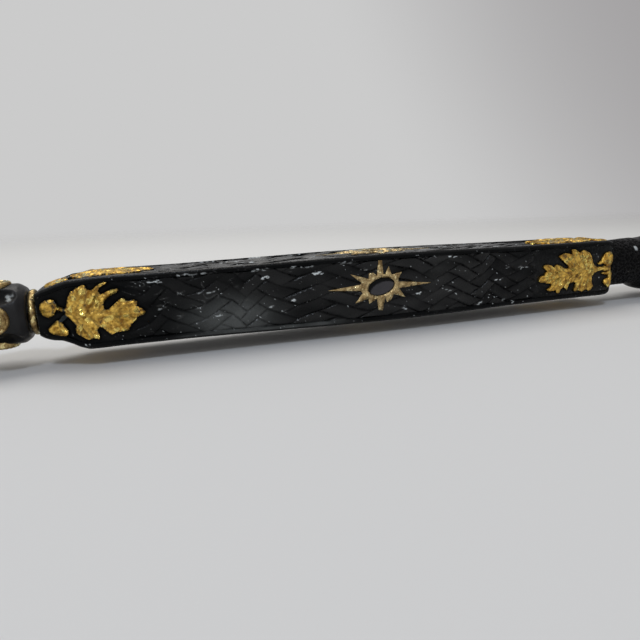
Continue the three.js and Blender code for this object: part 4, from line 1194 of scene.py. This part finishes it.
def build_knop():
    start, end = span("rosette_knop")
    profile = refine(soften([
        (start, BORE_RADIUS), (start, KNOP_END_RADIUS), (start + KNOP_BEVEL, KNOP_RADIUS),
        (end - KNOP_BEVEL, KNOP_RADIUS), (end, KNOP_END_RADIUS), (end, BORE_RADIUS)], 0.8), 0.3)

    def scooped(x, radius, angle):
        along = x - KNOP_MIDDLE
        hollow_shade, painted_glint = np.zeros_like(radius), np.zeros_like(radius)
        for quarter, share in enumerate(scoop_glints):
            offset = (angle - (quarter + 0.5) * math.pi / 2 + math.pi) % (2 * math.pi) - math.pi
            side = radius * np.sin(offset)
            left = 1 - (along / SCOOP_LONG) ** 2 - (side / SCOOP_WIDE) ** 2
            deep = KNOP_RADIUS - SCOOP_DEEP * np.sqrt(np.clip(left, 0, 1))
            cut = (left > 0) & (np.abs(offset) < 1) & (radius * np.cos(offset) > deep)
            radius = np.where(cut, deep / np.cos(np.where(cut, offset, 0)), radius)
            # Painted shade: the scoop is darkened, most of all away from its edges
            hollow_shade = np.where(cut, np.clip(2.5 * left, 0, 1), hollow_shade)
            # Painted glint: pale flecks at the scoop's upper end, where the lacquer is glassier too
            glint_spot = ((along - 5.0) / 1.5) ** 2 + ((side - 0.2) / 2.5) ** 2
            glint_spot = glint_spot + 0.9 * ripple_noise(x, side, 3.0, 1.3)
            painted_glint = np.where(cut, share * np.clip(1.3 * (1 - glint_spot), 0, 1), painted_glint)
        radius = radius + 0.03 * round_noise(x, radius, angle, 5.0)
        return radius, {"groove": hollow_shade, "drops": 0.5 * painted_glint}

    add_turned(
        "rosette_knop", "scooped", profile, scooped, turned_lacquer, sides=220, sharp=50,
        closed_ring=True)


build_knop()


def upright(profile, sides, waved=None):
    """A body turned about local Z over the knop's middle from [radius, height] points, from
    its own middle out and back. waved(radius, height, angle) is added to its height."""
    radius, height, angle = spun(profile, sides)
    if waved is not None:
        height = height + waved(radius, height, angle)
    rings = np.stack([radius * np.cos(angle), radius * np.sin(angle), height], -1)
    points, faces = ring_body(rings, [(0, 0, profile[0][1]), (0, 0, profile[-1][1])])
    return points + (KNOP_MIDDLE, 0, 0), faces


SEAT_RADIUS = 5.0
ROSETTE_RADIUS = 4.7
ROSETTE_PROUD = 0.9
BEAD_RADIUS = 1.2
PETALS = 20


def build_rosettes():
    seat = math.sqrt(KNOP_RADIUS ** 2 - SEAT_RADIUS ** 2) - 0.1
    top = KNOP_RADIUS + ROSETTE_PROUD
    rim = ROSETTE_RADIUS
    # From the seat up over the petalled rim, down and up over the inner ring, to the bead's cup
    rosette = [(0.3, seat), (rim - 0.1, seat)]
    rosette += [(rim - inward, top - down) for inward, down in (
        (0, 0.75), (0.25, 0.2), (0.75, 0), (1.1, 0.3), (1.3, 0.35), (1.5, 0.1), (1.9, 0.1),
        (2.15, 0.45), (2.5, 0.5), (2.8, 0.55), (rim - 1.4, 0.5), (rim - 0.3, 0.55))]
    rosette = soften(rosette, 0.12, 2)
    bead = [(0.2, top - 0.9), (BEAD_RADIUS, top - 0.9)]
    bead += arc(0, top - 0.55, BEAD_RADIUS, 0.55, 0, 1, 6)[:-1]

    def petals(radius, height, angle):
        on_rim = np.where(height > top - 0.7, bell(radius - (rim - 0.75), 0.55), 0)
        return 0.06 * on_rim * np.cos(angle * PETALS)

    bodies = (
        ("rosette", "gilded", ring_gold, 45, upright(rosette, 80, petals)),
        ("rosette_bead", "polished", onyx, 60, upright(bead, 32)))
    for face, angle in faces_round.items():
        for node, finish, material, sharp, (points, faces) in bodies:
            add_piece(f"{node}_{face}", finish, to_face(points, angle), faces, material, sharp)


build_rosettes()


def build_rings():
    def worn(x, radius, angle):
        dents = 0.04 * round_noise(x, radius, angle, 2.4)
        return radius + np.where(radius > BORE_RADIUS + 1, dents, 0), {}

    for node in ("shaft_ring", "joint_ring"):
        start, end = span(node)
        low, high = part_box(node)
        outer = (high.y - low.y) / 2 / MM
        half = (end - start) / 2
        crown = arc((start + end) / 2, outer - half, half, half, 2, 0, 14)
        profile = [(start, BORE_RADIUS), *crown, (end, BORE_RADIUS)]
        add_turned(
            node, "gilded", profile, worn, ring_gold, sides=96, sharp=50, closed_ring=True)


build_rings()


# Screw joint: the stud's thread, with the pitch that the joint draws out by -------------------
THREAD_PITCH = 2.0
THREAD_DEPTH = 0.7


def build_stud():
    start, end = span("joint_stud")
    begin = SECTION_START
    profile = refine(soften([
        (start, 0.5), (start, STUD_RADIUS - 0.5), (start + 0.5, STUD_RADIUS),
        (begin, STUD_RADIUS), (end - 1.0, STUD_RADIUS), (end, STUD_RADIUS - 0.9), (end, 0.5)],
        0.2, 2), 0.22)

    def threaded(x, radius, angle):
        turn = np.mod((x - begin) / THREAD_PITCH - angle / (2 * math.pi), 1)
        crest = np.clip(2.4 * np.abs(turn - 0.5) - 0.1, 0, 1)
        cut = THREAD_DEPTH * (1 - crest) * ramp(x, begin, begin + 1.5)
        return np.where(radius > STUD_RADIUS - 1.0, radius - cut, radius), {}

    add_turned("joint_stud", "threaded", profile, threaded, steel, sides=40, sharp=40)


build_stud()


# Handle ---------------------------------------------------------------------------------------
NECK_RADIUS = 10.6
NECK_TOP_RADIUS = 11.1
NECK_LENGTH = 20.0
SWELL_RADIUS = 13.3
SWELL_END_RADIUS = 9.8
SWELL_LENGTH = 26.0
swell_shares = [
    (0, 0), (0.1, 0.14), (0.2, 0.42), (0.3, 0.68), (0.42, 0.88), (0.56, 1), (0.7, 0.94),
    (0.82, 0.7), (0.92, 0.3)]

# How far the neck's carving leans up (or down) from its axis, along it in millimetres: the
# waist was cut deeper from below, and the swell left fuller there
neck_lean = [
    (0, 0), (10, 0.3), (18, 0.5), (21.5, 0.4), (26, -0.75), (30, -1.1), (38, -0.8), (46, 0)]

# The neck's punch marks: spacing, radius and depth, and the radius that they are spread over
PUNCH_SPACING, PUNCH_RADIUS, PUNCH_DEPTH, PUNCHED_RADIUS = 1.55, 0.7, 0.4, 11.0


def punch_marks(start, end, seed):
    """Places of punch marks scattered over the neck, as X and angle."""
    chance = random.Random(seed)
    row_gap = PUNCH_SPACING * 0.87
    around = int(2 * math.pi * PUNCHED_RADIUS / PUNCH_SPACING)
    return [
        (start + (row + chance.uniform(-0.5, 0.5)) * row_gap,
         (column + (row % 2) / 2 + chance.uniform(-0.5, 0.5)) * 2 * math.pi / around)
        for row in range(int((end - start) / row_gap) + 1) for column in range(around)]


def gap_to_punches(x, radius, angle, punches):
    """Distance from each point of a turned surface to the nearest punch mark on it."""
    tree = kdtree.KDTree(len(punches))
    for number, (along, turn) in enumerate(punches):
        reach = np.interp(along, x[:, 0], radius[:, 0])
        tree.insert((along, reach * math.cos(turn), reach * math.sin(turn)), number)
    tree.balance()
    places = np.stack([x, radius * np.cos(angle), radius * np.sin(angle)], -1).reshape(-1, 3)
    return np.array([tree.find(place)[2] for place in places.tolist()]).reshape(x.shape)


def curve_through(points, step):
    """A smooth curve of [x, radius] points through the given ones."""
    points = np.asarray(points, float)
    x = np.arange(points[0, 0], points[-1, 0], step)
    radius = np.interp(x, points[:, 0], points[:, 1])
    width = int(1.2 / step)
    radius = blurred(radius, np.hanning(2 * width + 3)[1:-1])
    return np.column_stack([x, radius]).tolist() + [points[-1].tolist()]


def build_neck():
    start, end = span("handle_neck")
    swell = [
        (start + NECK_LENGTH + a * SWELL_LENGTH,
         NECK_TOP_RADIUS + s * (SWELL_RADIUS - NECK_TOP_RADIUS)) for a, s in swell_shares]
    skin = curve_through([(start, NECK_RADIUS), *swell, (end, SWELL_END_RADIUS)], 0.3)
    punches = punch_marks(start, end, "neck")
    waist = start + NECK_LENGTH

    def stippled(x, radius, angle):
        radius = radius + np.interp(x - start, *zip(*neck_lean)) * np.sin(angle)
        gap = gap_to_punches(x, radius, angle, punches)
        punched = 1 - 0.85 * ramp(x, waist - 1.0, waist + 2.0)
        radius = radius - PUNCH_DEPTH * np.clip(1 - (gap / PUNCH_RADIUS) ** 2, 0, 1) * punched
        # Painted shade: the punch marks are darkened
        groove = np.clip(1.2 - 1.2 * gap / PUNCH_RADIUS, 0, 1) * punched
        # Two painted glints: pale flecks, where the lacquer is glassier too
        painted_shine = np.zeros_like(radius)
        for turn in (math.radians(138), math.radians(318)):
            up = radius * np.cos(angle) - PUNCHED_RADIUS * math.cos(turn)
            aside = radius * np.sin(angle) - PUNCHED_RADIUS * math.sin(turn)
            away = np.sqrt((x - start - 16.0) ** 2 + (up / 1.5) ** 2 + (aside / 1.5) ** 2)
            painted_shine = np.maximum(painted_shine, np.clip(1.3 - away, 0, 0.62))
        return radius, {"groove": groove, "drops": painted_shine}

    add_turned(
        "handle_neck", "stippled", skin, stippled, stippled_lacquer, sides=230, sharp=60)


build_neck()

CUP_RADIUS = 18.0
CUP_LIP = 10.3
SCALE_ROWS, SCALES_AROUND, SCALE_PROUD = 8, 26, 0.55
cup_shares = [
    (0, 0), (0.07, 0.2), (0.2, 0.46), (0.36, 0.68), (0.54, 0.85), (0.7, 0.95), (0.86, 1)]


def build_cup():
    start, end = span("handle_cup")
    length = end - start
    bowl = [
        (start + a * length, SWELL_END_RADIUS + s * (CUP_RADIUS - SWELL_END_RADIUS))
        for a, s in cup_shares]
    skin = curve_through(bowl, 0.3)
    rim = soften([skin[-1], (end - 1.0, CUP_RADIUS), (end, CUP_RADIUS - 1.0), (end, CUP_LIP)], 0.6)
    profile = skin[:-1] + refine(rim, 0.4).tolist()
    reach = length - 3.2

    def scaled(x, radius, angle):
        # Overlapping scales of the acorn's cup, in staggered rows
        row = (x - start) / reach * SCALE_ROWS
        level = np.floor(row)
        turn = angle / (2 * math.pi) * SCALES_AROUND + np.mod(level, 2) / 2
        across = np.abs(np.mod(turn, 1) - 0.5) * 2
        tip = row - level + 0.45 * across ** 2
        height = SCALE_PROUD * np.mod(tip, 1) ** 1.4 * (1 - 0.35 * across ** 2)
        on_bowl = (x < start + reach) & (radius > CUP_LIP - 0.1)
        shade = np.where(on_bowl, np.clip(1 - height * 4, 0, 1), 0)
        return np.where(on_bowl, radius - 0.5 + height, radius), {"groove": shade}

    add_turned("handle_cup", "scaled", profile, scaled, stippled_lacquer, sides=208, sharp=60)


build_cup()

NUT_RADIUS = 16.5
NUT_POINT = 3.0
NUT_SPIGOT = 4.0
NUT_FLUTES = 18
nut_shares = [
    (0, 0.9), (0.12, 0.97), (0.28, 1), (0.45, 0.97), (0.6, 0.88), (0.74, 0.72), (0.86, 0.5),
    (0.95, 0.25)]


def build_nut():
    spigot, end = span("handle_nut")
    start = spigot + NUT_SPIGOT
    body = end - start - NUT_POINT
    dome = [(start + a * body, s * NUT_RADIUS) for a, s in nut_shares]
    skin = curve_through([*dome, (start + body, 2.6), (end - 1.0, 1.5), (end, 0.3)], 0.4)
    base = [(spigot, 4.0), (spigot, 10.0), (start, 10.0), (start, skin[0][1])]
    profile = refine(base, 0.8).tolist() + skin[1:]

    def fluted(x, radius, angle):
        rib = 0.05 * np.cos(angle * NUT_FLUTES) * ramp(x, start, start + 3)
        rib = np.where(x > start, rib * np.clip(radius / 14, 0, 1) - 0.05, 0)
        return radius + rib + 0.03 * round_noise(x, radius, angle, 6.0), {}

    add_turned("handle_nut", "polished", profile, fluted, turned_lacquer, sides=144, sharp=50)


build_nut()


# Shaft and foot -------------------------------------------------------------------------------
SHAFT_SEAT_RADIUS, SHAFT_LOW_RADIUS, SHAFT_TOP_RADIUS = 7.3, 7.9, 8.8


def build_shaft():
    start, end = span("tapered_shaft")
    collar_end = span("foot_collar")[1]
    step = collar_end + 0.3
    profile = refine(soften([
        (start, 0.5), (start, SHAFT_SEAT_RADIUS), (step, SHAFT_SEAT_RADIUS),
        (step, SHAFT_LOW_RADIUS), (end - 1.4, SHAFT_TOP_RADIUS), (end, SHAFT_TOP_RADIUS - 1.4),
        (end, BORE_RADIUS), (end - 1.5, BORE_RADIUS - 0.2)], 0.5), 4.0)

    def hand_turned(x, radius, angle):
        wave = 0.05 * round_noise(x / 6, radius, angle, 7.0) + 0.03 * np.cos(angle * 8 + x / 60)
        return radius + np.where((x > collar_end + 2) & (x < end - 1), wave - 0.06, 0), {}

    add_turned(
        "tapered_shaft", "lacquered", profile, hand_turned, turned_lacquer, sides=72, sharp=40)


build_shaft()

COLLAR_INNER, COLLAR_OUTER = 7.6, 8.6
ROPE_TURNS = 40


def build_collar():
    start, end = span("foot_collar")
    # A groove near the lower edge and a roped bead at the upper one
    groove = [
        (start + along, COLLAR_OUTER - deep) for along, deep in (
            (0, 0.3), (0.3, 0), (2.0, 0), (2.2, 0.2), (2.6, 0.2), (2.8, 0))]
    bead = arc(end - 1, COLLAR_OUTER, 1, 0.5, 2, 0, 10)
    profile = refine([(start, COLLAR_INNER), *groove, *bead, (end, COLLAR_INNER)], 1.2)

    def roped(x, radius, angle):
        on_bead = (x > end - 2) & (radius > COLLAR_OUTER + 0.02)
        rope = 0.05 * np.cos(angle * ROPE_TURNS + (x - end) * 4) - 0.05
        return radius + np.where(on_bead, rope, 0), {}

    add_turned(
        "foot_collar", "beaded", profile, roped, brass, sides=160, sharp=45, closed_ring=True)


build_collar()

FOOT_RADIUS = 18.0
FOOT_WALL_RADIUS = 16.8
FOOT_NECK_RADIUS = 11.5
FOOT_BASE_LENGTH = 9.0
FOOT_BORE_RADIUS, FOOT_BORE_LENGTH = 7.6, 8.0
RIB_COUNT, RIB_PITCH, RIB_PROUD = 3, 4.8, 0.8
GRIP_FLUTES = 28
# From the tread's middle out over its two ridges and its rim, and up the side of the base: how
# far above the ground, and radius
foot_base = [
    (0.4, 0.4), (0.4, 5.4), (0, 6.0), (0, 7.0), (0.8, 7.1), (0.8, 8.9), (0, 9.0), (0, 10.6),
    (0.8, 10.7), (0.8, 12.3), (0, 12.4), (0, FOOT_WALL_RADIUS), (1.2, FOOT_RADIUS),
    (8.2, FOOT_RADIUS), (FOOT_BASE_LENGTH, 17.4)]


def build_foot():
    start, end = span("rubber_foot")
    ribs = end - RIB_COUNT * RIB_PITCH
    profile = [(start + up, radius) for up, radius in foot_base]
    profile += arc(
        ribs, FOOT_WALL_RADIUS, ribs - start - FOOT_BASE_LENGTH,
        FOOT_NECK_RADIUS - FOOT_WALL_RADIUS, 2, 1, 12)
    for i in range(RIB_COUNT):
        rib = ribs + (i + 0.5) * RIB_PITCH
        top = FOOT_NECK_RADIUS + RIB_PROUD
        profile += [
            (rib, FOOT_NECK_RADIUS), (rib + 0.25, top), (rib + 2.15, top),
            (rib + 2.4, FOOT_NECK_RADIUS)]
    profile[-1] = (end, FOOT_NECK_RADIUS + 0.1)
    profile += [(end, FOOT_BORE_RADIUS), (end - FOOT_BORE_LENGTH, FOOT_BORE_RADIUS)]
    profile = refine(soften(profile, 0.35, 3), 1.5)

    def moulded(x, radius, angle):
        # Short grip flutes round the base, and the mould's parting line
        base = ramp(x, start + 1.6, start + 2.4) * ramp(x, start + 7.6, start + 6.8)
        flute = -0.35 * base * np.clip(np.cos(angle * GRIP_FLUTES), 0, 1) * (radius > 17)
        on_wall = (radius > 10) & (radius < FOOT_RADIUS - 0.1)
        seam = 0.08 * bell((angle - 1.1) * radius, 0.3) * on_wall
        return radius + flute + seam, {}

    add_turned("rubber_foot", "moulded", profile, moulded, rubber, sides=224, sharp=40)


build_foot()

# Plain metal pieces stay as the CAD has them, with their own finish
for node, material in (
    ("foot_washer", steel), ("collar_pin", brass), ("joint_insert", brass), ("handle_stud", steel),
):
    for slot in frame["nodes"][node].material_slots:
        slot.material = material


# Floor, backdrop and light --------------------------------------------------------------------
BACKDROP = "#cbcbcb"
SHADED = "#a3a1a2"
FLOOR_HALF_METRES = 30.0
LIT_POINT_METRES = (0.2, 0, 0)


def build_stage():
    mesh = bpy.data.meshes.new("floor")
    corners = [
        (x * FLOOR_HALF_METRES, y * FLOOR_HALF_METRES, 0)
        for x, y in ((-1, -1), (1, -1), (1, 1), (-1, 1))]
    mesh.from_pydata(corners, [], [(0, 1, 2, 3)])
    floor = bpy.data.objects.new("floor", mesh)
    bpy.context.scene.collection.objects.link(floor)
    # Pale cotton sheeting, which fades into the backdrop away from the stick
    material, tree, shader, place = start_material("pale_sheeting")
    shader.inputs["Roughness"].default_value = 0.9
    ways = add_node(tree, "ShaderNodeSeparateXYZ", {0: place})
    # Painted light: the sheeting is paler just behind the stick, where the stick's shade falls
    painted_light_behind = add_node(tree, "ShaderNodeMapRange", {
        "Value": ways.outputs["Y"], "From Min": -0.03, "From Max": 0.06})
    tone = add_node(tree, "ShaderNodeMix", {
        FACTOR: painted_light_behind.outputs[0], COLOUR_A: linear("#d0d1d3"), COLOUR_B: linear("#dbdcdd")},
        data_type="RGBA")
    tree.links.new(tone.outputs[MIXED], shader.inputs["Base Color"])
    near = add_node(tree, "ShaderNodeVectorMath", {0: place, 1: (0.4, 1, 1)}, operation="MULTIPLY")
    away = add_node(tree, "ShaderNodeVectorMath", {0: near.outputs[0]}, operation="LENGTH")
    fade = add_node(tree, "ShaderNodeMapRange", {
        "Value": away.outputs["Value"], "From Min": 0.25, "From Max": 1.1},
        interpolation_type="SMOOTHSTEP")
    open_air = add_node(tree, "ShaderNodeBsdfTransparent")
    mixed = add_node(tree, "ShaderNodeMixShader", {
        0: fade.outputs[0], 1: shader.outputs[0], 2: open_air.outputs[0]})
    tree.links.new(mixed.outputs[0], tree.nodes["Material Output"].inputs["Surface"])
    mesh.materials.append(material)


def build_light():
    world = bpy.data.worlds.new("studio")
    bpy.context.scene.world = world
    world.use_nodes = True
    tree = world.node_tree
    background = tree.nodes["Background"]
    background.inputs["Color"].default_value = linear("#e9e6e2")
    background.inputs["Strength"].default_value = 0.5
    # The cloth behind falls off into shade towards the handle's end
    ways = add_node(tree, "ShaderNodeSeparateXYZ", {
        0: add_node(tree, "ShaderNodeTexCoord").outputs["Generated"]})
    aside = add_node(tree, "ShaderNodeMath", {
        0: ways.outputs["Z"], 1: 0.6, 2: ways.outputs["X"]}, operation="MULTIPLY_ADD")
    side = add_node(tree, "ShaderNodeMapRange", {
        "Value": aside.outputs[0], "From Min": 0.5, "From Max": 0.95},
        interpolation_type="SMOOTHSTEP")
    cloth = add_node(tree, "ShaderNodeMix", {
        FACTOR: side.outputs[0], COLOUR_A: linear(BACKDROP), COLOUR_B: linear(SHADED)},
        data_type="RGBA")
    seen = add_node(tree, "ShaderNodeBackground", {
        "Color": cloth.outputs[MIXED], "Strength": 1.0})
    path = add_node(tree, "ShaderNodeLightPath")
    looks = path.outputs["Is Camera Ray"]
    for kind in ("Is Glossy Ray", "Is Transmission Ray"):
        looks = add_node(tree, "ShaderNodeMath", {
            0: looks, 1: path.outputs[kind]}, operation="MAXIMUM").outputs[0]
    mixed = add_node(tree, "ShaderNodeMixShader", {
        0: looks, 1: background.outputs[0], 2: seen.outputs[0]})
    tree.links.new(mixed.outputs[0], tree.nodes["World Output"].inputs["Surface"])
    # Lamps: place and size in metres, watts and colour
    for name, place, size, power, colour in (
        ("overhead", (0.15, 0.4, 1.1), 0.8, 7.0, "#fbf8f2"),
        ("window", (0.0, -0.5, 0.95), 0.16, 2.6, "#e4eefc"),
    ):
        light = bpy.data.lights.new(name, "AREA")
        light.shape = "SQUARE"
        light.size = size
        light.energy = power
        light.color = linear(colour)[:3]
        lamp = bpy.data.objects.new(name, light)
        bpy.context.scene.collection.objects.link(lamp)
        lamp.location = place
        aim = Vector(LIT_POINT_METRES) - Vector(place)
        lamp.rotation_euler = aim.to_track_quat("-Z", "Y").to_euler()


build_stage()
build_light()
bpy.context.scene.view_settings.view_transform = "Standard"
